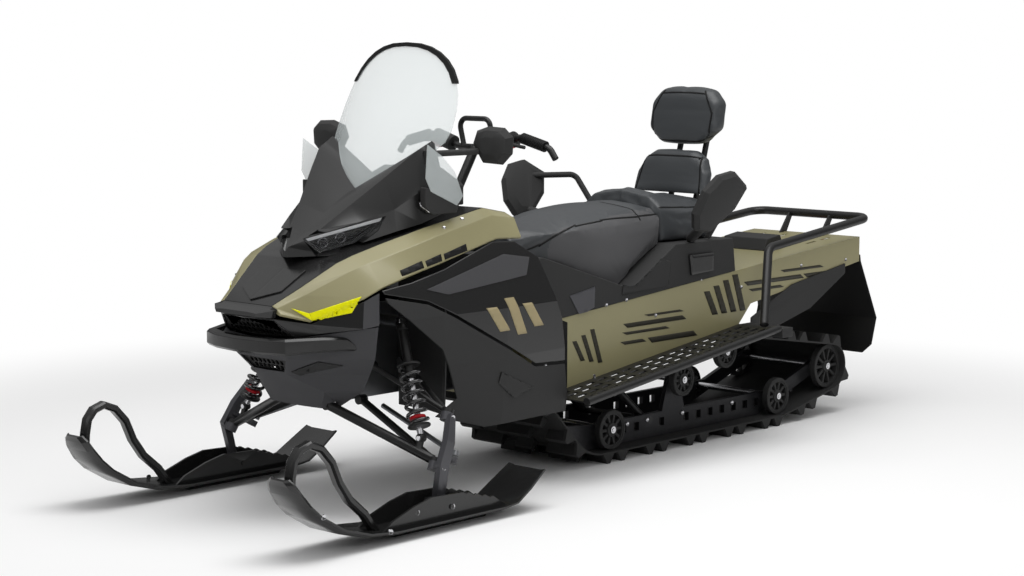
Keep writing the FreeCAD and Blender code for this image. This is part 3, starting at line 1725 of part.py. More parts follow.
def shield_sheet(grow):
    rows_shares = [(0.0, 0.0, 1.0), (0.36, 0.36, 0.95), (0.72, 0.76, 0.75), (1.03, 1.04, 0.6)]
    wall = windshield_wall + grow * 2
    wires = []
    for up, back, sag in rows_shares:
        z = between(windshield_low_z, windshield_top_z, up)
        x = between(windshield_low_x, windshield_top_x, back) + grow
        wires.append(arc_section(x, z, windshield_half_width, windshield_sag * sag, wall))
    return Part.makeLoft(wires, True, False)


def shield_outline(shrink):
    half = windshield_half_width - shrink
    top_z = windshield_top_z - shrink
    rise = top_z - windshield_low_z
    side_shares = [(0.0, 0.0), (0.35, 0.05), (0.7, 0.15), (0.97, 0.34)]
    left = [(half * wide, windshield_low_z + rise * up) for wide, up in side_shares]
    for step in range(shield_steps + 1):
        turn = math.pi / 2 * step / shield_steps
        wide = math.cos(turn) ** shield_roundness
        up = between(0.42, 1.0, math.sin(turn) ** shield_roundness)
        left.append((half * wide, windshield_low_z + rise * up))
    left[-1] = (0, top_z)
    right = [(-y, z) for y, z in reversed(left) if y > 0]
    return left + right


def make_windshield():
    outline = front_plate(shield_outline(0), 0, windshield_low_x + overrun)
    return shield_sheet(0).common(outline).cut(ruled_body(shroud_sections(0)))


def make_windshield_trim():
    thick = shield_sheet(trim_wall)
    outer = front_plate(shield_outline(-trim_wall), 0, windshield_low_x + overrun)
    inner = front_plate(shield_outline(trim_band), 0, windshield_low_x + overrun)
    band = thick.common(outer).cut(inner)
    rise = windshield_top_z - windshield_low_z
    low = vec(0, -windshield_half_width * 2, 0)
    high = vec(windshield_low_x * 2, windshield_half_width * 2, windshield_low_z + rise * 0.73)
    band = band.cut(block(low, high))
    clear = front_plate(shield_outline(0), 0, windshield_low_x + overrun)
    return band.cut(shield_sheet(0).common(clear))


# Handlebar

def column_frame():
    rake = math.radians(column_rake_deg)
    top = vec(bar_x, 0, bar_z)
    down = vec(math.sin(rake), 0, -math.cos(rake))
    return top, down


def column_length():
    drop = bar_z - hood_rear_z() + column_below
    return drop / math.cos(math.radians(column_rake_deg))


def hood_rear_z():
    inner_point = hood_row(hood_row_shares[-1])[1]
    return inner_point[1]


def column_bore(clearance):
    top, down = column_frame()
    return Part.makeCylinder(column_radius + clearance, column_length() * 2, top, down)


def bar_line():
    return [
        vec(bar_x, bar_half_width, bar_z - bar_tip_hook),
        vec(bar_x, bar_half_width - bar_tip_hook, bar_z + bar_rise * 0.2),
        vec(bar_x, bar_grip_start, bar_z + bar_rise),
        vec(bar_x, bar_clamp_half, bar_z),
    ]


def make_handlebar():
    top, down = column_frame()
    column = Part.makeCylinder(column_radius, column_length(), top, down)
    left = bar_line()
    right = [vec(p.x, -p.y, p.z) for p in reversed(left)]
    bar = bent_tube(left + right, bar_bend, bar_radius)
    loop_points = [
        vec(bar_x, loop_foot_half, bar_z),
        vec(bar_x, loop_half_width, bar_z + loop_height),
        vec(bar_x, -loop_half_width, bar_z + loop_height),
        vec(bar_x, -loop_foot_half, bar_z),
    ]
    loop = bent_tube(loop_points, loop_bend, loop_radius)
    return joined([column, bar, loop])


# Dash, deflectors and mirrors

def make_dash():
    rise = dash_top_z - dash_low_z
    run = dash_front_x - dash_rear_x
    side_shares = [(0.0, 0.0), (0.0, 0.55), (0.25, 0.95), (0.6, 1.0), (1.0, 0.6), (1.0, 0.0)]
    outline = [(dash_rear_x + run * along, dash_low_z + rise * up) for along, up in side_shares]
    dash = side_plate(outline, -dash_half_width, dash_half_width)
    taper = dash_half_width * 0.35
    front = [
        (-dash_half_width, dash_low_z),
        (-dash_half_width, dash_low_z + rise * 0.5),
        (-dash_half_width + taper, dash_top_z),
        (dash_half_width - taper, dash_top_z),
        (dash_half_width, dash_low_z + rise * 0.5),
        (dash_half_width, dash_low_z),
    ]
    return dash.common(front_plate(front, dash_rear_x - overrun, dash_front_x + overrun))


def make_duct():
    rise = duct_top_z - duct_low_z
    run = duct_front_x - duct_rear_x
    side_shares = [(1.0, 1.0), (0.3, 0.75), (0.0, 0.4), (0.1, 0.0), (0.8, 0.0), (1.0, 0.3)]
    outline = [(duct_rear_x + run * along, duct_low_z + rise * up) for along, up in side_shares]
    inner_y = shroud_half_width + pin_clearance
    return side_plate(outline, inner_y, inner_y + duct_width)


def make_deflector():
    run = duct_front_x - duct_rear_x
    rise = shroud_peak_z - duct_top_z
    side_shares = [
        (0.95, 0.95), (0.55, 0.68), (0.18, 0.30), (-0.05, -0.25), (0.12, -0.45), (0.85, -0.1), (1.0, 0.2),
    ]
    outline = [(duct_rear_x + run * along, duct_top_z + rise * up) for along, up in side_shares]
    inner_y = shroud_half_width + duct_width + pin_clearance * 2
    return side_plate(outline, inner_y, inner_y + deflector_wall)


def make_mirror():
    half_width = mirror_width / 2
    half_height = mirror_height / 2
    face_shares = [
        (-1.0, 0.1), (-0.8, 0.75), (-0.2, 1.0), (0.6, 0.95),
        (1.0, 0.5), (0.95, -0.4), (0.5, -0.95), (-0.5, -0.9),
    ]
    depth_shares = [(-0.5, 0.92), (-0.25, 1.0), (0.2, 0.8), (0.5, 0.45)]
    centre = vec(mirror_x, mirror_y, mirror_z)
    rings = []
    for deep, scale in depth_shares:
        rings.append([
            centre.add(vec(mirror_depth * deep, half_width * wide * scale, half_height * up * scale))
            for wide, up in face_shares
        ])
    head = corner_loft(rings)
    root = vec(mirror_root_x, mirror_root_y, mirror_root_z)
    arm_end_point = centre.add(vec(mirror_depth * 0.3, -half_width * 0.5, -half_height * 0.3))
    arm = rod(root, arm_end_point, mirror_arm_radius)
    foot_low = root.sub(upward * (mirror_arm_radius * 3))
    foot = Part.makeCylinder(mirror_arm_radius * 1.5, mirror_arm_radius * 4, foot_low, upward)
    return joined([head, arm, foot]).cut(ruled_body(shroud_sections(0)))


# Handlebar controls and grips

def make_grips():
    bend_point, start = bar_line()[1:3]
    run = start.sub(bend_point).normalize()
    first = start.sub(run * (bar_bend * 0.5))
    last = bend_point.add(run * (bar_bend * 0.5))
    bore = rod(first.add(run * overrun), last.sub(run * overrun), bar_radius)
    return both_sides(rod(first, last, grip_radius).cut(bore))


def make_controls():
    start, clamp = bar_line()[2:]
    run = start.sub(clamp).normalize()
    pod_start = start.sub(run * (pod_length + bar_bend * 0.6))
    pod = Part.makeCylinder(pod_radius, pod_length, pod_start, run)
    pod = pod.cut(rod(pod_start.sub(run * overrun), start.add(run * overrun), bar_radius))
    root = pod_start.add(run * (pod_length / 2)).add(forward * (pod_radius * 0.8))
    ahead = root.add(forward * (pod_radius * 1.1))
    elbow = ahead.add(across * (lever_length * 0.35))
    end = ahead.add(across * lever_length).sub(upward * (pod_radius * 0.4))
    lever = bent_tube([root, elbow, end], pod_radius * 0.6, lever_radius)
    return both_sides(joined([pod, lever]))


# Seats and the passenger's holds

def base_line():
    return [
        (base_front_x, base_front_z),
        (seat_front_x, between(base_front_z, base_top_z, 0.5) + soft_gap),
        (seat_low_x, seat_low_z),
        (seat_split_x, base_top_z),
        (base_rear_x + seat_wedge, base_top_z),
    ]


def make_seat_base():
    top = base_line()
    low_rear = (base_rear_x, tunnel_top(base_rear_x))
    low_front = (base_front_x, tunnel_top(base_front_x))
    outline = top + [low_rear, low_front]
    return side_plate(outline, -base_half_width, base_half_width)


def above_base():
    top = [(x, z + soft_gap) for x, z in base_line()]
    front_x = top[0][0] + overrun
    rear_x = top[-1][0] - overrun * 4
    ends = [(rear_x, top[-1][1]), (rear_x, headrest_top_z), (front_x, headrest_top_z), (front_x, top[0][1])]
    return side_plate(top + ends, -base_half_width, base_half_width)


def seat_loft(ends, crowns, shoulders, rows_shares):
    half = seat_half_width
    sections = []
    for along, crown, flat, shoulder, wide in rows_shares:
        top_z = between(crowns[0], crowns[1], crown)
        shoulder_z = between(shoulders[0], shoulders[1], shoulder)
        sections.append((between(ends[0], ends[1], along), [
            (0, top_z),
            (half * flat, between(top_z, shoulder_z, 0.3)),
            (half * wide, shoulder_z),
            (half * wide, seat_low_z),
            (0, seat_low_z),
        ]))
    return ruled_body(sections).common(above_base())


def make_driver_seat():
    rows_shares = [
        (0.0, -0.42, 0.42, -0.74, 0.55),
        (0.131, 0.0, 0.5, -0.49, 0.68),
        (0.393, 0.7, 0.62, -0.3, 0.9),
        (0.655, 1.0, 0.72, -0.2, 1.0),
        (1.0, 1.0, 0.78, 0.1, 1.0),
    ]
    levels = (seat_front_z, seat_crest_z)
    return seat_loft((seat_front_x, seat_split_x + soft_gap), levels, levels, rows_shares)


def make_passenger_seat():
    rows_shares = [
        (0.0, 1.0, 0.7, 0.51, 1.0),
        (0.3, 0.5, 0.75, 0.3, 1.04),
        (0.5, 0.0, 0.8, 0.3, 1.06),
        (1.0, 0.0, 0.8, 0.2, 1.02),
    ]
    crowns = (passenger_z, seat_band_z)
    shoulders = (seat_front_z, passenger_z)
    return seat_loft((seat_split_x, seat_rear_x), crowns, shoulders, rows_shares)


def pad(x_front, z_low, z_high, half, depth, lean, corner_shares):
    depth_shares = [(0.0, 0.9), (0.3, 1.0), (0.85, 0.97), (1.0, 0.88)]
    rise = z_high - z_low
    rings = []
    for back, scale in depth_shares:
        ring = []
        for wide, up in corner_shares:
            lift = rise / 2 * (1 + up * scale)
            x = x_front - depth * back - lean * lift / rise
            ring.append(vec(x, half * wide * scale, z_low + lift))
        rings.append(ring)
    return corner_loft(rings)


def make_backrest():
    corner_shares = [
        (-1.0, -1.0), (-0.98, 0.0), (-0.82, 0.66), (-0.55, 1.0),
        (0.55, 1.0), (0.82, 0.66), (0.98, 0.0), (1.0, -1.0),
    ]
    back = pad(
        seat_rear_x + backrest_lean, backrest_low_z, backrest_top_z,
        backrest_half_width, backrest_depth, backrest_lean, corner_shares,
    )
    seat_room = block(
        vec(seat_rear_x - soft_gap, -base_half_width, seat_low_z),
        vec(seat_split_x, base_half_width, passenger_z + soft_gap),
    )
    return back.cut(seat_room)


def make_headrest():
    corner_shares = [
        (-0.6, -1.0), (-1.0, -0.5), (-1.0, 0.45), (-0.72, 0.92), (-0.4, 1.0),
        (0.4, 1.0), (0.72, 0.92), (1.0, 0.45), (1.0, -0.5), (0.6, -1.0),
    ]
    return pad(
        headrest_x, headrest_low_z, headrest_top_z,
        headrest_half_width, headrest_depth, headrest_lean, corner_shares,
    )


def make_backrest_post():
    rear_x = headrest_x - headrest_depth - headrest_lean - post_radius * 1.42
    plate_low_z = between(headrest_low_z, headrest_top_z, 0.3)
    plate_high_z = between(headrest_low_z, headrest_top_z, 0.6)
    pieces = []
    for side in (-1, 1):
        foot = vec(post_foot_x, side * post_y, base_top_z)
        elbow = vec(post_foot_x, side * post_y, base_top_z + post_radius * 4)
        head = vec(rear_x, side * post_y, plate_high_z)
        pieces.append(bent_tube([foot, elbow, head], post_radius * 2, post_radius))
    low = vec(rear_x - post_radius * 0.5, -post_y, plate_low_z)
    high = vec(rear_x + post_radius * 0.5, post_y, plate_high_z)
    pieces.append(block(low, high))
    return joined(pieces)


def guard_point(along, up):
    return vec(
        between(guard_front_x, guard_rear_x, along),
        guard_y + guard_flare * up,
        between(guard_low_z, guard_top_z, up),
    )


def make_guard():
    face_shares = [
        (0.0, 0.28), (0.12, 0.0), (0.42, -0.06), (0.86, 0.34),
        (1.0, 0.74), (0.62, 1.0), (0.3, 0.94), (0.08, 0.68),
    ]
    depth_shares = [(-1.0, 0.72), (-0.6, 0.96), (0.1, 1.0), (0.7, 0.9), (1.0, 0.62)]
    outline = [guard_point(along, up) for along, up in face_shares]
    heart = guard_point(0.5, 0.5)
    thick = vec(0, guard_plate, -guard_plate * 0.4)
    rings = []
    for deep, scale in depth_shares:
        centre = heart.add(thick * deep)
        rings.append([centre.add(point.sub(heart) * scale) for point in outline])
    return corner_loft(rings)


def make_passenger_grip():
    foot_y = base_half_width - grip_bar_radius * 2
    foot_z = base_top_z + grip_bar_radius
    bar_front = guard_point(0.6, 0.6)
    bar_front.z = grip_bar_z
    bar_rear = vec(grip_bar_rear_x, grip_bar_rear_y, grip_bar_z)
    bar_foot = vec(grip_bar_rear_x - bracket_run, foot_y, foot_z)
    bar = bent_tube([bar_front, bar_rear, bar_foot], grip_bar_radius * 3, grip_bar_radius)
    arm = rod(guard_point(0.35, 0.12), vec(arm_root_x, foot_y, foot_z), grip_bar_radius * 1.6)
    above = block(
        vec(grip_bar_rear_x - overrun * 8, 0, base_top_z),
        vec(guard_front_x + overrun * 4, guard_y + guard_flare * 2, headrest_top_z),
    )
    return joined([make_guard(), bar, arm]).common(above)


parts = {
    "tunnel": make_tunnel,
    "rear_rack": make_rear_rack,
    "rack_braces": make_rack_brace,
    "snow_flap": make_snow_flap,
    "deck_box": make_deck_box,
    "tail_lamp": make_tail_lamp,
    "tow_hitch": make_tow_hitch,
    "track": make_track,
    "skid_wheels": make_skid_wheels,
    "skid_rails": make_skid_rails,
    "skid_arms": make_skid_arms,
    "drive_axle": make_drive_axle,
    "bulkhead": make_bulkhead,
    "engine": make_engine,
    "hood": make_hood,
    "nose_fascia": make_nose_fascia,
    "belly_pan": make_belly_pan,
    "nose_grille": make_nose_grille,
    "front_bumper": make_front_bumper,
    "headlamp_shroud": make_shroud,
    "windshield": make_windshield,
    "windshield_trim": make_windshield_trim,
    "headlamps": make_headlamps,
    "dash": make_dash,
    "bar_grips": make_grips,
    "bar_controls": make_controls,
    "seat_base": make_seat_base,
    "driver_seat": make_driver_seat,
    "passenger_seat": make_passenger_seat,
    "backrest": make_backrest,
    "headrest": make_headrest,
    "backrest_post": make_backrest_post,
    "handlebar": make_handlebar,
}

paired_parts = {
    "fender_liners": make_fender_liner,
    "upper_arms": make_upper_arm,
    "lower_arms": make_lower_arm,
    "shocks": make_shock,
    "ducts": make_duct,
    "deflectors": make_deflector,
    "mirrors": make_mirror,
    "passenger_grips": make_passenger_grip,
}

sided_parts = {
    "running_board": make_running_board,
    "side_panel": make_side_panel,
    "lower_panel": make_lower_panel,
    "hood_panel": make_hood_panel,
    "ski": make_ski,
    "ski_loop": make_ski_loop,
    "spindle": make_spindle,
    "tie_rod": make_tie_rod,
}


def build():
    os.makedirs("parts", exist_ok=True)
    for name, make in parts.items():
        make().exportStep("parts/" + name + ".step")
    for name, make in paired_parts.items():
        both_sides(make()).exportStep("parts/" + name + ".step")
    for name, make in sided_parts.items():
        left = make()
        left.exportStep("parts/" + name + "_left.step")
        mirrored(left).exportStep("parts/" + name + "_right.step")


build()
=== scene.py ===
import json
import math

import bmesh
import bpy
from mathutils import Matrix, Vector
from mathutils.bvhtree import BVHTree


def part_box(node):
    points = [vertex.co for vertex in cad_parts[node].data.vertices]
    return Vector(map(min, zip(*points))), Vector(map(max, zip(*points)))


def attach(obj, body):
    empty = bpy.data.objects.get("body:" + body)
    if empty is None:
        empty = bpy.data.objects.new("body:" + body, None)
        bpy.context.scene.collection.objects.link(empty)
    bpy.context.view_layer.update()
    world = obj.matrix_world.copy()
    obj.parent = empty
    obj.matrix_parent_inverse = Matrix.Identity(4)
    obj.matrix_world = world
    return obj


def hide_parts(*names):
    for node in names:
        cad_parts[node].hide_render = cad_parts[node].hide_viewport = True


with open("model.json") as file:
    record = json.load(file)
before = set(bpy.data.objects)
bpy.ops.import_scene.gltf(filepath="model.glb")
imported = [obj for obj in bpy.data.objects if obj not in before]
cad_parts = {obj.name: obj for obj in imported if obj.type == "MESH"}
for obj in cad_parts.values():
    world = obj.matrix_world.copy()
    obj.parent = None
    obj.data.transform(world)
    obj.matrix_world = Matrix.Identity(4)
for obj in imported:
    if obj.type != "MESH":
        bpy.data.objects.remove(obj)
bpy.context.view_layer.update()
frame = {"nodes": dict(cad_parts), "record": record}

bl_info = {
    "name": "Utility Snowmobile",
    "version": (1, 0, 0),
    "blender": (4, 5, 0),
    "location": "View3D > Sidebar > Snowmobile",
    "description": "Dresses the snowmobile's frame with its finishes and fine parts",
    "category": "Add Mesh",
}

CHASSIS = "chassis"
BAR = "steering_bar"
MERGE = 0.00002
SHARP = 34.0
# Radius and height of a screw's and a bolt's head
SCREW = (0.007, 0.003)
BOLT = (0.009, 0.004)


# Values a user may change

def colour_value(label, text, default):
    return bpy.props.FloatVectorProperty(
        name=label, description=text, default=default, min=0.0, max=1.0, size=3, subtype="COLOR"
    )


def length_value(label, text, default):
    return bpy.props.FloatProperty(
        name=label, description=text, default=default, min=0.0, unit="LENGTH", subtype="DISTANCE"
    )


class SNOW_PG_colours(bpy.types.PropertyGroup):
    tan: colour_value("Tan", "Painted side panels and tunnel", (0.29, 0.266, 0.142))
    mark: colour_value("Tunnel bars", "Dark bars on the tunnel's sides", (0.035, 0.033, 0.024))
    badge: colour_value("Panel bars", "Pale bars on the side panels", (0.36, 0.30, 0.17))
    black: colour_value("Black", "Moulded black plastic", (0.004, 0.004, 0.0044))
    gloss: colour_value("Gloss black", "Polished side panels", (0.004, 0.004, 0.0044))
    grey: colour_value("Belly grey", "Moulded belly pan", (0.009, 0.009, 0.0096))
    casting: colour_value("Casting", "Cast spindles and arms", (0.014, 0.014, 0.015))
    metal: colour_value("Bare metal", "Aluminium plates and rods", (0.24, 0.245, 0.255))
    vinyl: colour_value("Vinyl", "Seat covers", (0.027, 0.027, 0.029))
    # Painted light: a lighter copy of the seat vinyl for the seat's side-facing faces, standing in for the
    # light that falls on them
    vinyl_light: colour_value("Light vinyl", "Seat sides lightened as painted light", (0.075, 0.075, 0.078))
    yellow: colour_value("Yellow", "Stripe on the nose", (0.88, 0.86, 0.0))
    red: colour_value("Red", "Switches and the shock rings", (0.42, 0.008, 0.014))


class SNOW_PG_sizes(bpy.types.PropertyGroup):
    panel_round: length_value("Panel rounding", "Rounding of moulded panel edges", 0.004)
    metal_round: length_value("Metal rounding", "Rounding of metal edges", 0.0012)
    piping: length_value("Seam piping", "Width of the seats' seams", 0.006)


def colours():
    return bpy.context.scene.snow_colours


def sizes():
    return bpy.context.scene.snow_sizes


# Shader groups shared by the finishes

def feed(tree, node, values):
    for key, value in values.items():
        if isinstance(value, bpy.types.NodeSocket):
            tree.links.new(value, node.inputs[key])
        else:
            node.inputs[key].default_value = value


def add_node(tree, kind, sockets=None, **values):
    node = tree.nodes.new(kind)
    for key, value in values.items():
        setattr(node, key, value)
    feed(tree, node, sockets or {})
    return node


def math_node(tree, operation, first, second):
    return add_node(tree, "ShaderNodeMath", {0: first, 1: second}, operation=operation).outputs[0]


def colour_mix(tree, share, first, second):
    return add_node(tree, "ShaderNodeMix", {0: share, 6: first, 7: second}, data_type="RGBA").outputs[2]


def new_group(name, inputs, outputs):
    group = bpy.data.node_groups.new(name, "ShaderNodeTree")
    for label, value in inputs.items():
        socket = group.interface.new_socket(label, in_out="INPUT", socket_type="NodeSocketFloat")
        socket.default_value = value
    for label in outputs:
        group.interface.new_socket(label, in_out="OUTPUT", socket_type="NodeSocketFloat")
    return group, group.nodes.new("NodeGroupInput").outputs, group.nodes.new("NodeGroupOutput")


def grain_group():
    name = "moulded_grain"
    if name in bpy.data.node_groups:
        return bpy.data.node_groups[name]
    group, given, end = new_group(name, {"Scale": 900.0, "Patch Scale": 9.0}, ("Height", "Patches"))
    point = add_node(group, "ShaderNodeTexCoord").outputs["Object"]
    fine = add_node(group, "ShaderNodeTexNoise", {"Vector": point, "Scale": given["Scale"], "Detail": 2.0})
    broad = add_node(group, "ShaderNodeTexNoise", {
        "Vector": point, "Scale": given["Patch Scale"], "Detail": 4.0, "Roughness": 0.6
    })
    feed(group, end, {"Height": fine.outputs[0], "Patches": broad.outputs[0]})
    return group


def wear_group():
    name = "edge_wear"
    if name in bpy.data.node_groups:
        return bpy.data.node_groups[name]
    group, given, end = new_group(name, {"Amount": 1.0}, ("Mask",))
    edges = add_node(group, "ShaderNodeNewGeometry").outputs["Pointiness"]
    point = add_node(group, "ShaderNodeTexCoord").outputs["Object"]
    noise = add_node(group, "ShaderNodeTexNoise", {"Vector": point, "Scale": 60.0, "Detail": 5.0})
    ridge = add_node(group, "ShaderNodeMapRange", {"Value": edges, "From Min": 0.52, "From Max": 0.62})
    broken = math_node(group, "MULTIPLY", ridge.outputs[0], noise.outputs[0])
    feed(group, end, {"Mask": math_node(group, "MULTIPLY", broken, given["Amount"])})
    return group


def vinyl_group():
    name = "leather_grain"
    if name in bpy.data.node_groups:
        return bpy.data.node_groups[name]
    group, given, end = new_group(name, {"Scale": 420.0}, ("Height", "Folds"))
    point = add_node(group, "ShaderNodeTexCoord").outputs["Object"]
    cells = add_node(
        group, "ShaderNodeTexVoronoi", {"Vector": point, "Scale": given["Scale"]}, feature="DISTANCE_TO_EDGE"
    )
    pebble = math_node(group, "MINIMUM", cells.outputs["Distance"], 0.16)
    fine = add_node(group, "ShaderNodeTexNoise", {"Vector": point, "Scale": 1500.0})
    grit = math_node(group, "MULTIPLY", fine.outputs[0], 0.05)
    folds = add_node(group, "ShaderNodeTexNoise", {"Vector": point, "Scale": 5.0, "Detail": 3.0})
    feed(group, end, {"Height": math_node(group, "ADD", pebble, grit), "Folds": folds.outputs[0]})
    return group


# Finishes

def new_material(name):
    material = bpy.data.materials.new(name)
    material.use_nodes = True
    return material, material.node_tree, material.node_tree.nodes["Principled BSDF"]


def scaled(base, share, lift=0.0):
    return (*(min(1.0, c * share + lift) for c in base), 1)


def finish(name, base, rough, metal=0.0, grain=0.15, grain_scale=900.0, vary=0.12, wear=0.25,
           wear_colour=None, coat=0.0, rough_vary=0.08, distance=0.0004, shine=0.2):
    material, tree, shader = new_material(name)
    surface = add_node(tree, "ShaderNodeGroup", {"Scale": grain_scale}, node_tree=grain_group()).outputs
    worn = add_node(tree, "ShaderNodeGroup", {"Amount": wear}, node_tree=wear_group()).outputs
    tone = colour_mix(tree, surface["Patches"], scaled(base, 1 - vary), scaled(base, 1 + vary))
    bare = (*wear_colour, 1) if wear_colour else scaled(base, 1.4, 0.004)
    gloss = add_node(tree, "ShaderNodeMapRange", {
        "Value": surface["Patches"], "To Min": rough - rough_vary, "To Max": rough + rough_vary
    })
    feed(tree, shader, {
        "Base Color": colour_mix(tree, worn["Mask"], tone, bare), "Roughness": gloss.outputs[0],
        "Metallic": metal, "Specular IOR Level": shine, "Coat Weight": coat, "Coat Roughness": 0.08,
    })
    if grain:
        bump = add_node(
            tree, "ShaderNodeBump", {"Strength": grain, "Distance": distance, "Height": surface["Height"]}
        )
        feed(tree, shader, {"Normal": bump.outputs[0]})
    return material


def vinyl(name, base):
    material, tree, shader = new_material(name)
    grain = add_node(tree, "ShaderNodeGroup", node_tree=vinyl_group()).outputs
    worn = add_node(tree, "ShaderNodeGroup", {"Amount": 0.3}, node_tree=wear_group()).outputs
    tone = colour_mix(tree, grain["Folds"], scaled(base, 0.85), scaled(base, 1.2))
    gloss = add_node(tree, "ShaderNodeMapRange", {"Value": grain["Folds"], "To Min": 0.42, "To Max": 0.56})
    bump = add_node(
        tree, "ShaderNodeBump", {"Strength": 0.35, "Distance": 0.0005, "Height": grain["Height"]}
    )
    feed(tree, shader, {
        "Base Color": colour_mix(tree, worn["Mask"], tone, scaled(base, 1.9)),
        "Roughness": gloss.outputs[0], "Normal": bump.outputs[0], "Specular IOR Level": 0.3,
        "Sheen Weight": 0.08, "Sheen Roughness": 0.5,
    })
    return material


def clear_plastic(name, base, bend):
    material, tree, shader = new_material(name)
    surface = add_node(tree, "ShaderNodeGroup", {"Patch Scale": 5.0}, node_tree=grain_group()).outputs
    gloss = add_node(tree, "ShaderNodeMapRange", {
        "Value": surface["Patches"], "To Min": 0.02, "To Max": 0.05
    })
    feed(tree, shader, {
        "Transmission Weight": 1.0, "IOR": bend, "Base Color": base, "Roughness": gloss.outputs[0]
    })
    return material


FINISHES = {
    "tan_paint": ("tan", 0.38, dict(grain=0.05, vary=0.05, wear=0.12, coat=0.12, rough_vary=0.04, shine=0.4)),
    "black_plastic": ("black", 0.44, dict(grain=0.35, wear=0.45)),
    "gloss_black": ("gloss", 0.22, dict(grain=0.02, wear=0.3, coat=0.25, rough_vary=0.05)),
    "grey_plastic": ("grey", 0.46, dict(grain=0.3, wear=0.4)),
    "black_steel": ("black", 0.32, dict(grain=0.12, grain_scale=500.0, wear=0.5, coat=0.1, shine=0.4)),
    "grey_casting": ("casting", 0.42, dict(grain=0.4, grain_scale=420.0, wear=0.5)),
    "bare_metal": ("metal", 0.4, dict(metal=1.0, grain=0.1, vary=0.1, wear=0.2)),
    "dark_metal": (
        (0.02, 0.02, 0.022), 0.42, dict(metal=0.5, grain=0.2, wear=0.6, wear_colour=(0.2, 0.2, 0.21))
    ),
    "bright_metal": ((0.62, 0.62, 0.64), 0.22, dict(metal=1.0, grain=0.03, vary=0.06)),
    "spring_black": ((0.01, 0.01, 0.011), 0.16, dict(grain=0.0, coat=0.6, shine=0.6)),
    "track_rubber": (
        (0.007, 0.007, 0.007), 0.62, dict(grain=0.6, grain_scale=260.0, wear=0.6, distance=0.001)
    ),
    "soft_rubber": ((0.008, 0.008, 0.008), 0.55, dict(grain=0.4, grain_scale=600.0)),
    "red_plastic": ("red", 0.3, dict(grain=0.1, vary=0.06)),
    "yellow_film": ("yellow", 0.35, dict(grain=0.03, vary=0.02, wear=0.0, coat=0.1)),
    "dark_bars": ("mark", 0.4, dict(grain=0.1, vary=0.12, wear=0.0)),
    "pale_bars": ("badge", 0.4, dict(grain=0.1, vary=0.06, wear=0.0)),
    "engine_metal": ((0.02, 0.02, 0.022), 0.5, dict(metal=0.4, grain=0.4)),
    "lamp_chrome": ((0.5, 0.5, 0.52), 0.16, dict(metal=1.0, grain=0.0, vary=0.05)),
    "lamp_strip": ((0.8, 0.81, 0.83), 0.3, dict(grain=0.0, vary=0.03, wear=0.0, coat=0.4)),
    "lamp_glass": (
        (0.16, 0.165, 0.17), 0.05,
        dict(grain=0.0, vary=0.02, wear=0.0, coat=1.0, rough_vary=0.01, shine=0.5)
    ),
    "mirror_glass": ((0.55, 0.56, 0.58), 0.05, dict(metal=1.0, grain=0.0, vary=0.02, wear=0.0)),
    "screen_glass": ((0.004, 0.005, 0.006), 0.08, dict(grain=0.0, vary=0.1, wear=0.0, coat=1.0)),
}
STRIP_GLOW = (0.9, 0.92, 0.95, 1)
STRIP_STRENGTH = 0.18
LENS_ALPHA = 0.12
SHIELD_COLOUR = (0.42, 0.425, 0.435, 1)
SHIELD_BEND = 1.2
VINYLS = {"seat_vinyl": "vinyl", "light_vinyl": "vinyl_light"}


def paint(name):
    if name in bpy.data.materials:
        return bpy.data.materials[name]
    if name == "clear_shield":
        return clear_plastic(name, SHIELD_COLOUR, SHIELD_BEND)
    if name in VINYLS:
        return vinyl(name, getattr(colours(), VINYLS[name]))
    base, rough, values = FINISHES[name]
    if isinstance(base, str):
        base = getattr(colours(), base)
    material = finish(name, base, rough, **values)
    shader = material.node_tree.nodes["Principled BSDF"]
    if name == "lamp_strip":
        shader.inputs["Emission Color"].default_value = STRIP_GLOW
        shader.inputs["Emission Strength"].default_value = STRIP_STRENGTH
    if name == "lamp_glass":
        shader.inputs["Alpha"].default_value = LENS_ALPHA
    return material


# Mesh helpers

def place(name, bm, finish_name, body, degrees=SHARP):
    mesh = bpy.data.meshes.new(name)
    bm.to_mesh(mesh)
    bm.free()
    mesh.shade_smooth()
    mesh.set_sharp_from_angle(angle=math.radians(degrees))
    piece = bpy.data.objects.new(name, mesh)
    bpy.context.collection.objects.link(piece)
    mesh.materials.append(paint(finish_name))
    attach(piece, body)
    return piece


def soften(piece, width, segments=2, degrees=30.0, harden=False):
    bevel = piece.modifiers.new("rounded_edges", "BEVEL")
    bevel.width = width
    bevel.segments = segments
    bevel.limit_method = "ANGLE"
    bevel.angle_limit = math.radians(degrees)
    bevel.harden_normals = harden
    bevel.use_clamp_overlap = True


def thicken(piece, thickness):
    wall = piece.modifiers.new("thickness", "SOLIDIFY")
    wall.thickness = thickness
    wall.offset = -1.0


def node_body(node):
    for body, members in frame["record"]["behaviour"]["bodies"].items():
        if node in members:
            return body
    raise RuntimeError("no body holds " + node)


def dress(node, finish_name, width=None, segments=2, degrees=28.0):
    bm = bmesh.new()
    bm.from_mesh(frame["nodes"][node].data)
    bmesh.ops.remove_doubles(bm, verts=bm.verts, dist=MERGE)
    bmesh.ops.dissolve_limit(
        bm, angle_limit=math.radians(0.6), verts=bm.verts, edges=bm.edges, use_dissolve_boundaries=False
    )
    piece = place(node + "_shell", bm, finish_name, node_body(node), degrees)
    if width:
        soften(piece, width, segments, degrees, True)
    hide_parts(node)
    return piece


SKINS = {}


def skin_of(*nodes):
    if nodes not in SKINS:
        verts, faces = [], []
        for node in nodes:
            mesh = frame["nodes"][node].data
            first = len(verts)
            verts += [v.co.copy() for v in mesh.vertices]
            faces += [tuple(first + index for index in p.vertices) for p in mesh.polygons]
        SKINS[nodes] = BVHTree.FromPolygons(verts, faces)
    return SKINS[nodes]


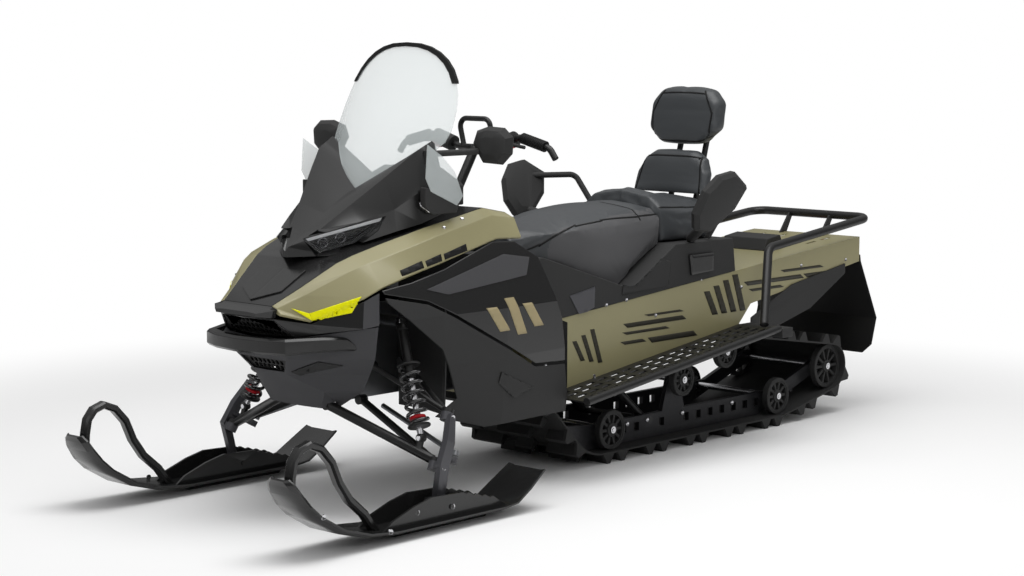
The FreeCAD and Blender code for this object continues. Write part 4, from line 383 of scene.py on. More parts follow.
def lay(bm, skin, outline, lift, cell=0.012, away=None):
    old = set(bm.verts)
    face = bm.faces.new([bm.verts.new(point) for point in outline])
    face.normal_update()
    middle = sum(outline, Vector()) / len(outline)
    if away is None:
        away = face.normal.copy()
        nearest = skin.find_nearest(middle)[1]
        if away.dot(nearest) < 0:
            away = -away
        if away.dot(Vector((0, middle.y, 0))) < -0.03 * abs(middle.y) and abs(away.y) > 0.5:
            away = -away
    for axis in range(3):
        low = min(point[axis] for point in outline)
        high = max(point[axis] for point in outline)
        across = Vector((axis == 0, axis == 1, axis == 2))
        for step in range(1, int((high - low) / cell) + 1):
            new = [v for v in bm.verts if v not in old]
            edges = {e for v in new for e in v.link_edges}
            faces = {f for v in new for f in v.link_faces}
            bmesh.ops.bisect_plane(
                bm, geom=[*new, *edges, *faces], plane_co=across * (low + cell * step), plane_no=across
            )
    new = [v for v in bm.verts if v not in old]
    for vert in new:
        hit = skin.ray_cast(vert.co + away * 0.05, -away, 0.1)[0]
        if hit is None:
            hit = skin.find_nearest(vert.co)[0]
        vert.co = hit + away * lift
    faces = list({f for v in new for f in v.link_faces})
    bmesh.ops.recalc_face_normals(bm, faces=faces)
    for face in faces:
        face.normal_update()
    if sum(face.normal.dot(away) * face.calc_area() for face in faces) < 0:
        bmesh.ops.reverse_faces(bm, faces=faces)


def seam(bm, skin, path, width, lift):
    points = [Vector(p) for p in path]
    for first, second in zip(points, points[1:]):
        normal = skin.find_nearest((first + second) / 2)[1]
        along = (second - first).normalized()
        aside = normal.cross(along).normalized() * (width / 2)
        start = first - along * (width * 0.4)
        end = second + along * (width * 0.4)
        lay(bm, skin, [start + aside, start - aside, end - aside, end + aside], lift, away=normal)


def mirror_copy(bm):
    made = bmesh.ops.duplicate(bm, geom=bm.verts[:] + bm.edges[:] + bm.faces[:])["geom"]
    verts = [item for item in made if isinstance(item, bmesh.types.BMVert)]
    faces = [item for item in made if isinstance(item, bmesh.types.BMFace)]
    bmesh.ops.scale(bm, vec=(1, -1, 1), verts=verts)
    bmesh.ops.reverse_faces(bm, faces=faces)


def trim(name, bm, finish_name, body, thick, bevel=0.0, both=True):
    if both:
        mirror_copy(bm)
    piece = place(name, bm, finish_name, body)
    thicken(piece, thick)
    if bevel:
        soften(piece, bevel, 2, SHARP)
    return piece


def laid(name, finish_name, patches, thick, bevel=0.0, both=True):
    bm = bmesh.new()
    for skin, outline, *how in patches:
        lay(bm, skin, mm(*outline), *how)
    return trim(name, bm, finish_name, CHASSIS, thick, bevel, both)


def facing_matrix(at, normal):
    turn = Vector((0, 0, 1)).rotation_difference(Vector(normal)).to_matrix().to_4x4()
    return Matrix.Translation(at) @ turn


def bolt(bm, at, normal, radius, height):
    made = bmesh.ops.create_cone(
        bm, cap_ends=True, segments=14, radius1=radius, radius2=radius * 0.9, depth=height
    )["verts"]
    bmesh.ops.translate(bm, vec=(0, 0, height / 2), verts=made)
    faces = {f for v in made for f in v.link_faces}
    top = max(faces, key=lambda f: f.calc_center_median().z)
    bmesh.ops.inset_individual(bm, faces=[top], thickness=radius * 0.5, depth=-height * 0.5)
    verts = {v for f in faces for v in f.verts} | set(made)
    bmesh.ops.transform(bm, matrix=facing_matrix(at, normal), verts=list(verts))


def bolts_on(bm, node, places, radius, height, sink=0.0, away=None):
    for point in places:
        at, normal = skin_of(node).find_nearest(Vector(point))[:2]
        if away:
            at = skin_of(node).ray_cast(point + away * 0.05, -away, 0.2)[0] or at
            normal = away
        bolt(bm, at - normal * sink, normal, radius, height)


def screws(name, rows, body=CHASSIS, mirrored=True):
    bm = bmesh.new()
    for node, points, *how in rows:
        bolts_on(bm, node, mm(*points), *how)
    if mirrored:
        mirror_copy(bm)
    place(name, bm, "bright_metal", body)


def turned(at, angle, axis):
    return Matrix.Translation(at) @ Matrix.Rotation(angle, 4, axis)


def face_left(bm, faces):
    faces[0].normal_update()
    if faces[0].normal.y < 0:
        bmesh.ops.reverse_faces(bm, faces=faces)


def lathe(bm, profile, matrix, steps=32, closed=False):
    verts = [bm.verts.new((radius, 0.0, height)) for radius, height in profile]
    edges = [bm.edges.new(pair) for pair in zip(verts, verts[1:])]
    if closed:
        edges.append(bm.edges.new((verts[-1], verts[0])))
    old = set(bm.faces)
    bmesh.ops.spin(
        bm, geom=verts + edges, cent=(0, 0, 0), axis=(0, 0, 1), angle=2 * math.pi,
        steps=steps, use_merge=True,
    )
    faces = [f for f in bm.faces if f not in old]
    new = list({v for f in faces for v in f.verts})
    bmesh.ops.remove_doubles(bm, verts=new, dist=0.00001)
    faces = [f for f in bm.faces if f not in old]
    bmesh.ops.recalc_face_normals(bm, faces=faces)
    bmesh.ops.transform(bm, matrix=matrix, verts=list({v for f in faces for v in f.verts}))


def tint(piece, finish_name, chosen):
    piece.data.materials.append(paint(finish_name))
    for face in piece.data.polygons:
        if chosen(face.center, face.normal):
            face.material_index = 1


def mm(*points):
    return [Vector(point) / 1000.0 for point in points]


def bars(bm, skin, centres, width, lean, lows, highs, y, lift):
    for centre, low, high in zip(centres, lows, highs):
        half = width / 2
        lay(bm, skin, mm(
            (centre + half - lean, y, low), (centre - half - lean, y, low),
            (centre - half + lean, y, high), (centre + half + lean, y, high),
        ), lift)


# Operators

class SNOW_OT_panels(bpy.types.Operator):
    """Dress the moulded body panels"""
    bl_idname = "snow.panels"
    bl_label = "Body panels"

    def execute(self, context):
        edge = sizes().panel_round
        for node in ("dash", "seat_base", "rack_braces", "ducts"):
            dress(node, "black_plastic", edge)
        for node in ("hood", "headlamp_shroud"):
            dress(node, "gloss_black", edge)
        dress("deck_box", "black_plastic", edge)
        dress("nose_grille", "black_plastic", 0.001)
        dress("fender_liners", "black_plastic", 0.002)
        fascia = dress("nose_fascia", "gloss_black", edge)
        tint(fascia, "grey_plastic", lambda at, normal: at.x < 1.168)
        for side in ("left", "right"):
            dress("side_panel_" + side, "gloss_black", edge)
            dress("lower_panel_" + side, "black_plastic", edge)
            dress("hood_panel_" + side, "tan_paint", edge)
        dress("belly_pan", "grey_plastic", edge)
        glass = dress("mirrors", "black_plastic", 0.002)
        tint(glass, "mirror_glass", lambda at, normal: normal.x < -0.85)
        return {"FINISHED"}


# Width, height and middle of the dark plates behind the grille, and the ends of the vent slots' painted shade
# in mm
GRILLE_PLATES = ((0.29, 0.17, (1.235, 0, 0.545)), (0.40, 0.09, (1.232, 0, 0.59)))
VENT_SHADE_ENDS = (((1015, 318, 748), (925, 326, 768)), ((912, 326, 770), (850, 332, 784)),
              ((838, 332, 787), (740, 334, 808)))


class SNOW_OT_stripes(bpy.types.Operator):
    """Lay the stripes, bars, facets and screws on the body panels"""
    bl_idname = "snow.stripes"
    bl_label = "Stripes and facets"

    def execute(self, context):
        nose = skin_of("hood_panel_left", "nose_fascia")
        side = skin_of("side_panel_left")
        edge = skin_of("hood_panel_left", "side_panel_left")
        base = skin_of("seat_base")
        laid("nose_stripe", "yellow_film", [
            (nose, ((1314.6, 157.2, 663.4), (1273.6, 192.1, 647), (1270.1, 201.4, 625)), 0.003, 0.006),
            (nose, ((1273.6, 192.1, 647), (1159.6, 302.2, 698.5), (1183.6, 285.1, 648.7),
                    (1270.1, 201.4, 625)), 0.003, 0.006),
        ], 0.0015)
        # Painted shade: a dark rubber sheet on the tunnel's front wall, where the gap between the side and
        # lower panels shows only shade
        laid("tunnel_front", "soft_rubber", [
            (skin_of("tunnel"), ((170, 258, 300), (640, 258, 300), (640, 258, 640), (345, 258, 640),
                                 (170, 258, 520)), 0.0006, 0.05),
        ], 0.0005)
        bm = bmesh.new()
        for width, tall, at in GRILLE_PLATES:
            made = bmesh.ops.create_grid(bm, x_segments=6, y_segments=6, size=0.5)["verts"]
            bmesh.ops.scale(bm, vec=(tall, width, 1), verts=made)
            bmesh.ops.rotate(bm, cent=(0, 0, 0), matrix=Matrix.Rotation(math.pi / 2, 3, "Y"), verts=made)
            bmesh.ops.translate(bm, vec=at, verts=made)
        trim("grille_back", bm, "soft_rubber", CHASSIS, 0.002, both=False)
        laid("side_facets", "grey_plastic", [
            (side, ((940, 365, 706), (855.7, 368.5, 683.1), (494.2, 364.9, 715), (464.9, 351, 770.1),
                    (589.5, 352.5, 789)), 0.0025),
        ], 0.003, 0.0012)
        bm = bmesh.new()
        bars(bm, side, (650, 566, 482), 46, 30, (548, 530, 548), (628, 652, 628), 380, 0.0012)
        trim("side_bars", bm, "pale_bars", CHASSIS, 0.001)
        # Painted shade: dark rubber patches over the vent slots stand in for the shade in their recessed
        # openings
        laid("vent_slots", "soft_rubber", [
            (edge, (first, last, (last[0], last[1] - 4, last[2] + 22),
                    (first[0], first[1] - 4, first[2] + 18)), 0.0015)
            for first, last in VENT_SHADE_ENDS
        ], 0.0015)
        screws("panel_screws", [
            ("hood_panel_left", ((797.9, 294.4, 881.9), (708.3, 285.8, 904.3)), *SCREW),
            ("seat_base", ((-25.9, 262, 561.6), (-133, 262, 569.4)), *SCREW),
            ("lower_panel_left", ((405, 372, 430),), 0.006, 0.003),
        ])
        laid("black_facets", "black_plastic", [
            (skin_of("lower_panel_left"), ((632.9, 385.3, 416.9), (464.7, 370.3, 346.9),
                                           (561.8, 371.7, 322.8), (641.6, 380.4, 382)), 0.004, 0.008),
            (skin_of("belly_pan"), ((1262, 96, 458), (1234.6, 104.5, 445.6), (1170, 228, 482),
                                    (1228, 182, 500)), 0.003),
            (base, ((-107, 262, 588), (-120, 262, 640), (-330, 262, 700), (-380, 262, 688),
                    (-365, 262, 600)), 0.003),
        ], 0.004, 0.0015)
        laid("hood_platform", "gloss_black", [
            (skin_of("hood"), ((1340, -0.5, 676), (1294, 90, 704), (1200, 98, 762),
                               (1200, -0.5, 762)), 0.005),
        ], 0.005, 0.0018)
        laid("seat_latches", "gloss_black", [
            (base, ((-478, 262, 701), (-618, 262, 701), (-618, 262, 636), (-491, 262, 628)), 0.009),
        ], 0.009, 0.003)
        laid("grey_facets", "grey_casting", [
            (base, ((165, 262, 610), (35, 262, 630), (38, 262, 560), (112, 262, 535)), 0.003),
        ], 0.004, 0.0015)
        laid("dash_screen", "screen_glass", [
            (skin_of("dash"), ((570, -78, 1010), (570, 78, 1010), (650, 78, 1075), (650, -78, 1075)), 0.003),
        ], 0.004, 0.0015, both=False)
        laid("duct_stripes", "bright_metal", [
            (skin_of("ducts"), ((873, 262, 966), (873, 286, 936), (873, 286, 922), (873, 258, 954)),
             0.003, 0.01, Vector((1, 0, 0))),
        ], 0.001)
        return {"FINISHED"}


# How far out the tunnel's side walls stand, in mm
WALL_Y = 258


class SNOW_OT_chassis(bpy.types.Operator):
    """Dress the tunnel, rack, boards and bulkhead"""
    bl_idname = "snow.chassis"
    bl_label = "Chassis"

    def execute(self, context):
        edge = sizes().metal_round
        dress("tunnel", "tan_paint", edge)
        for node in ("rear_rack", "tow_hitch", "backrest_post"):
            dress(node, "black_steel", edge)
        dress("passenger_grips", "black_plastic", 0.006, 3)
        dress("front_bumper", "gloss_black", 0.004, 3)
        dress("bulkhead", "bare_metal", edge)
        dress("engine", "engine_metal", 0.01)
        dress("tail_lamp", "red_plastic", 0.003)
        for side in ("left", "right"):
            dress("running_board_" + side, "black_steel", edge)
        wall = skin_of("tunnel")
        bm = bmesh.new()
        bars(bm, wall, (-620, -676, -732, -788), 34, 26, (470, 470, 470, 470), (560, 576, 592, 608),
             WALL_Y, 0.001)
        for centre, width, low, high in (
            (-1010, 360, 560, 576), (-1330, 240, 560, 576), (-960, 200, 536, 546), (-1190, 260, 592, 602),
            (-300, 330, 470, 486), (-250, 240, 446, 456), (-350, 200, 500, 508), (-400, 260, 404, 424),
            (-180, 120, 412, 424),
        ):
            bars(bm, wall, (centre,), width, 12, (low,), (high,), WALL_Y, 0.001)
        bars(bm, wall, (112, 66, 20), 22, 22, (380, 372, 364), (452, 468, 484), WALL_Y, 0.001)
        trim("tunnel_bars", bm, "dark_bars", CHASSIS, 0.0006)
        places = ((30.2, 320.7), (-801.4, 558.3), (-300, 500), (-560, 620), (-1180, 610), (-1480, 610))
        screws("tunnel_bolts", [("tunnel", [(x, WALL_Y, z) for x, z in places], *SCREW)])
        return {"FINISHED"}


RIB_PITCH = 0.056
RIB_WIDTH = 0.016
RIB_LOW = 0.26
RIB_TOP = 0.56


class SNOW_OT_flap(bpy.types.Operator):
    """Dress the rubber snow flap, and model its ribs and bolts"""
    bl_idname = "snow.flap"
    bl_label = "Snow flap"

    def execute(self, context):
        dress("snow_flap", "soft_rubber", 0.002, 3)
        skin = skin_of("snow_flap")
        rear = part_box("snow_flap")[0][0]
        bm = bmesh.new()
        for step in range(-4, 5):
            inner, outer = step * RIB_PITCH - RIB_WIDTH / 2, step * RIB_PITCH + RIB_WIDTH / 2
            lay(bm, skin, [Vector((rear, inner, RIB_LOW)), Vector((rear, outer, RIB_LOW)),
                           Vector((rear + 0.03, outer, RIB_TOP)), Vector((rear + 0.03, inner, RIB_TOP))],
                0.003, 0.04, Vector((-1, 0, 0.2)).normalized())
        ribs = trim("flap_ribs", bm, "soft_rubber", CHASSIS, 0.004, 0.0015, both=False)
        bm = bmesh.new()
        for y in (-0.24, -0.12, 0.0, 0.12, 0.24):
            bolts_on(bm, "snow_flap", [Vector((rear + 0.02, y, 0.602))], 0.008, 0.004)
        place("flap_bolts", bm, "bright_metal", CHASSIS)
        return {"FINISHED"}


# Each pair's x, z and radius; how far out both stand
WHEELS = ((-0.109, 0.1105, 0.0705), (-1.091, 0.1105, 0.0705), (-1.416, 0.191, 0.086),
          (-0.765, 0.316, 0.060), (-0.509, 0.241, 0.060))
WHEEL_Y = 0.214
SPOKES = 10


class SNOW_OT_skid(bpy.types.Operator):
    """Model the spoked skid wheels, and dress the track and rails"""
    bl_idname = "snow.skid"
    bl_label = "Track and skid"

    def execute(self, context):
        dress("track", "track_rubber", 0.002)
        dress("skid_rails", "dark_metal", 0.0015)
        dress("skid_arms", "black_steel")
        dress("drive_axle", "black_plastic")
        tyres, webs, metal = bmesh.new(), bmesh.new(), bmesh.new()
        for x, z, radius in WHEELS:
            for y in (-WHEEL_Y, WHEEL_Y):
                turn = turned((x, y, z), math.pi / 2, "X")
                inner = radius - 0.011
                lathe(tyres, [(inner, -0.013), (radius - 0.002, -0.013), (radius, -0.011), (radius, 0.011),
                              (radius - 0.002, 0.013), (inner, 0.013)], turn, 48, True)
                lathe(webs, [(inner, -0.011), (inner + 0.0004, 0.011), (inner - 0.005, 0.011),
                             (inner - 0.006, -0.011)], turn, 48, True)
                lathe(webs, [(0.013, -0.012), (0.024, -0.012), (0.026, -0.006), (0.026, 0.006),
                             (0.024, 0.012), (0.013, 0.012)], turn, 32, True)
                self.spokes(webs, turn, 0.025, inner - 0.005)
                outer = turned((x, y + math.copysign(0.0125, y), z), math.copysign(math.pi / 2, -y), "X")
                lathe(metal, [(0.0, 0.006), (0.006, 0.006), (0.007, 0.004), (0.0125, 0.004),
                              (0.0125, -0.001), (0.0, -0.001)], outer, 24)
            shaft = turned((x, 0, z), math.pi / 2, "X")
            lathe(metal, [(0.0, -WHEEL_Y), (0.012, -WHEEL_Y), (0.012, WHEEL_Y), (0.0, WHEEL_Y)], shaft, 20)
        rail = [(x, 190, 108) for x in (-245, -357, -560, -860, -1240)]
        screws("rail_bolts", [("skid_rails", rail, *BOLT)])
        rim = place("wheel_webs", webs, "black_plastic", CHASSIS)
        tyre = place("wheel_tyres", tyres, "track_rubber", CHASSIS)
        hubs = place("wheel_shafts", metal, "bright_metal", CHASSIS)
        for piece in (rim, tyre, hubs):
            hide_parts("skid_wheels")
        return {"FINISHED"}

    def spokes(self, bm, turn, inner, outer):
        for index in range(SPOKES):
            made = bmesh.ops.create_cube(bm, size=1.0)["verts"]
            bmesh.ops.scale(bm, vec=(outer - inner + 0.003, 0.008, 0.014), verts=made)
            for vert in made:
                if vert.co.x > 0:
                    vert.co.y *= 1.35
            bmesh.ops.translate(bm, vec=((inner + outer) / 2, 0, 0), verts=made)
            around = Matrix.Rotation(2 * math.pi * index / SPOKES, 4, "Z")
            bmesh.ops.transform(bm, matrix=turn @ around, verts=made)


# How deep the bolts of the skis and spindles stand in their bores
BOLT_SINK = 0.0035
# Middles of a shock's eyes, with y for the left one
SHOCK_LOW = (1.018, 0.413, 0.2606)
SHOCK_TOP = (0.955, 0.262, 0.600)


class SNOW_OT_front(bpy.types.Operator):
    """Dress the skis and arms, and model the coil shocks"""
    bl_idname = "snow.front"
    bl_label = "Skis and suspension"

    def execute(self, context):
        for side in ("left", "right"):
            dress("ski_" + side, "gloss_black", 0.002)
            dress("ski_loop_" + side, "gloss_black", 0.001)
            dress("spindle_" + side, "grey_casting", 0.003)
            dress("tie_rod_" + side, "bare_metal")
            hand = 1 if side == "left" else -1
            for node, places in (
                ("ski_" + side, ((1298, 573, 72), (1014, 573, 66), (1160, 573, 70), (1560, 573, 130))),
                ("spindle_" + side, ((1026, 545, 182), (1017, 545, 66), (950, 530, 322))),
            ):
                points = [(x, y * hand, z) for x, y, z in places]
                screws(node + "_bolts", [(node, points, *BOLT, BOLT_SINK, Vector((0, hand, 0)))],
                       node_body(node), mirrored=False)
        dress("upper_arms", "black_steel")
        dress("lower_arms", "black_steel")
        coils, bodies, rods, rings = bmesh.new(), bmesh.new(), bmesh.new(), bmesh.new()
        for hand in (-1, 1):
            start, end = (Vector((x, y * hand, z)) for x, y, z in (SHOCK_LOW, SHOCK_TOP))
            length = (end - start).length
            axis = facing_matrix(start, (end - start).normalized())
            self.coil(coils, axis, 0.12 * length, 0.60 * length)
            low, top = 0.5 * length, length - 0.01
            lathe(bodies, [(0.0, low), (0.013, low), (0.015, low + 0.002), (0.015, top - 0.02),
                           (0.018, top - 0.018), (0.018, top - 0.01), (0.012, top), (0.0, top)], axis, 32)
            for collar in (0.1, 0.62):
                at = collar * length
                lathe(bodies, [(0.010, at - 0.004), (0.034, at - 0.004), (0.036, at - 0.002),
                               (0.036, at + 0.002), (0.034, at + 0.004), (0.010, at + 0.004)], axis, 32, True)
            lathe(rods, [(0.0, 0.01), (0.0105, 0.01), (0.0105, low + 0.001), (0.0, low + 0.001)], axis, 28)
            ring = 0.155 * length
            lathe(rings, [(0.0108, ring), (0.024, ring), (0.0255, ring + 0.002), (0.0255, ring + 0.009),
                          (0.024, ring + 0.011), (0.0108, ring + 0.011)], axis, 32, True)
            for at in (start, end):
                eye = turned(at, math.pi / 2, "Y")
                lathe(bodies, [(0.005, -0.011), (0.013, -0.011), (0.014, -0.009), (0.014, 0.009),
                               (0.013, 0.011), (0.005, 0.011)], eye, 28, True)
                lathe(rods, [(0.0, -0.0145), (0.0075, -0.0145), (0.0085, -0.0125), (0.0085, 0.0125),
                             (0.0075, 0.0145), (0.0, 0.0145)], eye, 14)
        made = [place("shock_coils", coils, "spring_black", CHASSIS, 60.0),
                place("shock_bodies", bodies, "black_steel", CHASSIS),
                place("shock_rods", rods, "bright_metal", CHASSIS),
                place("shock_rings", rings, "red_plastic", CHASSIS)]
        for piece in made:
            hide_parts("shocks")
        return {"FINISHED"}

    def coil(self, bm, axis, low, high, turns=6, radius=0.030, wire=0.006):
        ring = bmesh.ops.create_circle(bm, cap_ends=False, segments=14, radius=wire)["verts"]
        bmesh.ops.rotate(bm, cent=(0, 0, 0), matrix=Matrix.Rotation(math.pi / 2, 3, "X"), verts=ring)
        bmesh.ops.translate(bm, vec=(radius, 0, low), verts=ring)
        edges = list({e for v in ring for e in v.link_edges})
        old = set(bm.faces)
        steps = turns * 28
        bmesh.ops.spin(
            bm, geom=ring + edges, cent=(0, 0, 0), axis=(0, 0, 1), angle=2 * math.pi * turns,
            steps=steps, dvec=(0, 0, (high - low) / steps),
        )
        faces = [f for f in bm.faces if f not in old]
        verts = {v for f in faces for v in f.verts}
        border = [e for v in verts for e in v.link_edges if e.is_boundary]
        caps = bmesh.ops.holes_fill(bm, edges=list(set(border)), sides=0)["faces"]
        bmesh.ops.recalc_face_normals(bm, faces=faces + caps)
        bmesh.ops.transform(bm, matrix=axis, verts=list(verts))


# The corners between which the left lamp's face is laid out
LAMP_INNER = Vector((1.178, 0.060, 0.858))
LAMP_OUTER = Vector((0.963, 0.200, 0.924))
LAMP_LOW = Vector((1.150, 0.060, 0.806))


def lamp_point(across, down, depth=0.0):
    u = LAMP_OUTER - LAMP_INNER
    v = LAMP_LOW - LAMP_INNER
    outward = v.cross(u).normalized()
    if outward.x < 0:
        outward = -outward
    return LAMP_INNER + u * across + v * down + outward * depth, outward


class SNOW_OT_glazing(bpy.types.Operator):
    """Dress the windshield and deflectors, and model the headlamps"""
    bl_idname = "snow.glazing"
    bl_label = "Windshield and lamps"

    def execute(self, context):
        dress("windshield", "clear_shield")
        dress("deflectors", "clear_shield")
        dress("windshield_trim", "soft_rubber")
        shares = ((0.0, 0.0), (1.0, 0.0), (0.86, 0.52), (0.54, 1.0), (0.10, 1.0))
        lens = bmesh.new()
        face_left(lens, [lens.faces.new([lens.verts.new(lamp_point(a, d, 0.005)[0]) for a, d in shares])])
        mirror_copy(lens)
        shell = place("lamp_lenses", lens, "lamp_glass", CHASSIS)
        thicken(shell, 0.002)
        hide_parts("headlamps")
        bowl = bmesh.new()
        front = [bowl.verts.new(lamp_point(a, d, 0.002)[0]) for a, d in shares]
        back = [bowl.verts.new(lamp_point(0.45 + (a - 0.45) * 0.86, 0.45 + (d - 0.45) * 0.8, -0.02)[0])
                for a, d in shares]
        made = [bowl.faces.new(back)]
        for first in range(len(shares)):
            last = (first + 1) % len(shares)
            made.append(bowl.faces.new((front[first], front[last], back[last], back[first])))
        bmesh.ops.recalc_face_normals(bowl, faces=made)
        face_left(bowl, made)
        trim("lamp_bowls", bowl, "gloss_black", CHASSIS, 0.0015)
        strip = bmesh.new()
        face_left(strip, [strip.faces.new([strip.verts.new(lamp_point(a, d, -0.001)[0]) for a, d in
                                           ((0.03, 0.05), (0.96, 0.05), (0.92, 0.22), (0.045, 0.22))])])
        trim("lamp_strips", strip, "lamp_strip", CHASSIS, 0.0015)
        glass, ring = bmesh.new(), bmesh.new()
        for across, down in ((0.20, 0.60), (0.42, 0.58)):
            at, outward = lamp_point(across, down, -0.013)
            turn = facing_matrix(at, outward)
            lathe(glass, [(0.0, 0.010), (0.006, 0.0092), (0.011, 0.0065), (0.0135, 0.002), (0.0135, 0.0),
                          (0.0, 0.0)], turn, 28)
            lathe(ring, [(0.0137, 0.0), (0.017, 0.0), (0.0172, 0.003), (0.0155, 0.0045), (0.0137, 0.003)],
                  turn, 28, True)
        mirror_copy(glass)
        mirror_copy(ring)
        place("lamp_projectors", glass, "screen_glass", CHASSIS)
        place("lamp_rings", ring, "lamp_chrome", CHASSIS)
        return {"FINISHED"}


# Ends of the left grip's middle line in mm, up to the bend at the bar's end
GRIP = ((350, 205, 1148), (350, 336, 1116))
GRIP_RIBS = 14


class SNOW_OT_controls(bpy.types.Operator):
    """Dress the handlebar, its ribbed grips and its switches"""
    bl_idname = "snow.controls"
    bl_label = "Handlebar"

    def execute(self, context):
        dress("handlebar", "black_steel")
        dress("bar_grips", "soft_rubber")
        dress("bar_controls", "black_plastic", 0.001)
        ribs = bmesh.new()
        start, bend = mm(*GRIP)
        first = start + (bend - start) * 0.08
        length = (bend - first).length * 0.86
        profile = [(0.0168, 0.0)]
        for index in range(GRIP_RIBS):
            low = length * index / GRIP_RIBS
            profile += [(0.0172, low + 0.0010), (0.0188, low + 0.0025), (0.0188, low + 0.0055),
                        (0.0172, low + 0.0070)]
        profile.append((0.0168, length))
        lathe(ribs, profile, facing_matrix(first, (bend - first).normalized()), 24, True)
        mirror_copy(ribs)
        place("grip_ribs", ribs, "soft_rubber", BAR)
        reds = bmesh.new()
        made = bmesh.ops.create_cube(reds, size=1.0)["verts"]
        bmesh.ops.scale(reds, vec=(0.020, 0.044, 0.012), verts=made)
        bmesh.ops.rotate(reds, cent=(0, 0, 0), matrix=Matrix.Rotation(math.radians(16), 3, "X"), verts=made)
        bmesh.ops.translate(reds, vec=(0.362, 0.170, 1.114), verts=made)
        mirror_copy(reds)
        switches = place("red_switches", reds, "red_plastic", BAR)
        soften(switches, 0.0035, 3)
        return {"FINISHED"}


def evaluated(piece):
    graph = bpy.context.evaluated_depsgraph_get()
    mesh = bpy.data.meshes.new_from_object(piece.evaluated_get(graph))
    piece.modifiers.clear()
    old = piece.data
    piece.data = mesh
    bpy.data.meshes.remove(old)
    return mesh


def near_path(point, paths, reach):
    for path in paths:
        for first, second in zip(path, path[1:]):
            along = second - first
            share = max(0.0, min(1.0, (point - first).dot(along) / along.length_squared))
            if (point - (first + along * share)).length < reach:
                return True
    return False


# Pressure and frames of the covers' cloth, and how far a point may travel
PRESSURE = 4.0
FRAMES = 20
TRAVEL = 0.008


def swell(piece):
    mesh = piece.data
    before = [v.co.copy() for v in mesh.vertices]
    cloth = piece.modifiers.new("swell", "CLOTH")
    settings = cloth.settings
    settings.quality = 5
    settings.mass = 0.3
    settings.use_pressure = True
    settings.uniform_pressure_force = PRESSURE
    settings.effector_weights.gravity = 0.0
    settings.vertex_group_mass = "held"
    cloth.point_cache.frame_start = 1
    cloth.point_cache.frame_end = FRAMES
    for frame_number in range(1, FRAMES + 1):
        bpy.context.scene.frame_set(frame_number)
    mesh = evaluated(piece)
    for vert, old in zip(mesh.vertices, before):
        moved = vert.co - old
        if moved.length > TRAVEL:
            vert.co = old + moved * (TRAVEL / moved.length)
    bpy.context.scene.frame_set(1)


# How far a cover starts inside its solid, and how full it is stuffed
SHRINK = 0.004


def upholster(node, paths, voxel=0.006, floor=None, corner=0.016, rounds=1):
    bm = bmesh.new()
    bm.from_mesh(frame["nodes"][node].data)
    bmesh.ops.remove_doubles(bm, verts=bm.verts, dist=MERGE)
    piece = place(node + "_cover", bm, "seat_vinyl", node_body(node), 180.0)
    soften(piece, corner, 4, 22)
    grid = piece.modifiers.new("grid", "REMESH")
    grid.mode = "VOXEL"
    grid.voxel_size = voxel
    mesh = evaluated(piece)
    normals = [v.normal.copy() for v in mesh.vertices]
    held = piece.vertex_groups.new(name="held")
    for vert, normal in zip(mesh.vertices, normals):
        seam_here = near_path(vert.co, paths, voxel * 1.3)
        resting = floor is not None and vert.co.z < floor
        if seam_here or resting:
            held.add([vert.index], 1.0, "REPLACE")
        vert.co -= normal * (SHRINK * (1.6 if seam_here else 1.0))
    swell(piece)
    bm = bmesh.new()
    bm.from_mesh(piece.data)
    for _ in range(rounds):
        bmesh.ops.smooth_vert(
            bm, verts=bm.verts, factor=0.5, use_axis_x=True, use_axis_y=True, use_axis_z=True
        )
    bm.to_mesh(piece.data)
    bm.free()
    piece.data.shade_smooth()
    smooth = piece.modifiers.new("smooth", "SUBSURF")
    smooth.levels = 1
    smooth.render_levels = 1
    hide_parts(node)
    skin = BVHTree.FromPolygons(
        [v.co.copy() for v in piece.data.vertices], [tuple(p.vertices) for p in piece.data.polygons]
    )
    stitches = bmesh.new()
    for path in paths:
        seam(stitches, skin, path, sizes().piping, 0.0012)
    if stitches.faces:
        sewn = trim(node + "_piping", stitches, "soft_rubber", node_body(node), 0.0018, both=False)
    else:
        stitches.free()
    return piece


def both(path):
    points = mm(*path)
    return [points, [Vector((p.x, -p.y, p.z)) for p in points]]


def loop(points):
    return [mm(*points, points[0])]


class SNOW_OT_seats(bpy.types.Operator):
    """Model the seats, backrest and headrest as stuffed vinyl covers"""
    bl_idname = "snow.seats"
    bl_label = "Seats"

    def execute(self, context):
        saddle = both([(280, 120, 745), (178, 139, 775), (16, 168, 845), (-110, 182, 862),
                       (-300, 190, 858), (-400, 190, 858)])
        cross = [mm((-300, -190, 858), (-300, -90, 893), (-300, 90, 893), (-300, 190, 858))]
        cover = upholster("driver_seat", saddle + cross, 0.0075, floor=0.63)
        # Painted light: faces of the driver's seat that face sideways take the lighter vinyl copy, as light
        # on the seat's sides
        tint(cover, "light_vinyl", lambda at, normal: abs(at.y) > 0.145 and abs(normal.y) > 0.6)
        upholster("passenger_seat", both([(-420, 190, 885), (-560, 196, 885), (-700, 196, 885)]), 0.007,
                  floor=0.765)
        panel = [(-690, -150, 905), (-690, 150, 905), (-690, 130, 1050), (-690, -130, 1050)]
        upholster("backrest", loop(panel), corner=0.03, rounds=5)
        pillow = [(-757, -130, 1095), (-757, 130, 1095), (-757, 140, 1200), (-757, 100, 1285),
                  (-757, -100, 1285), (-757, -140, 1200)]
        upholster("headrest", loop(pillow), corner=0.034, rounds=8)
        return {"FINISHED"}


# Floor, light and camera, whose place and turn in metres and radians are matched to the photograph

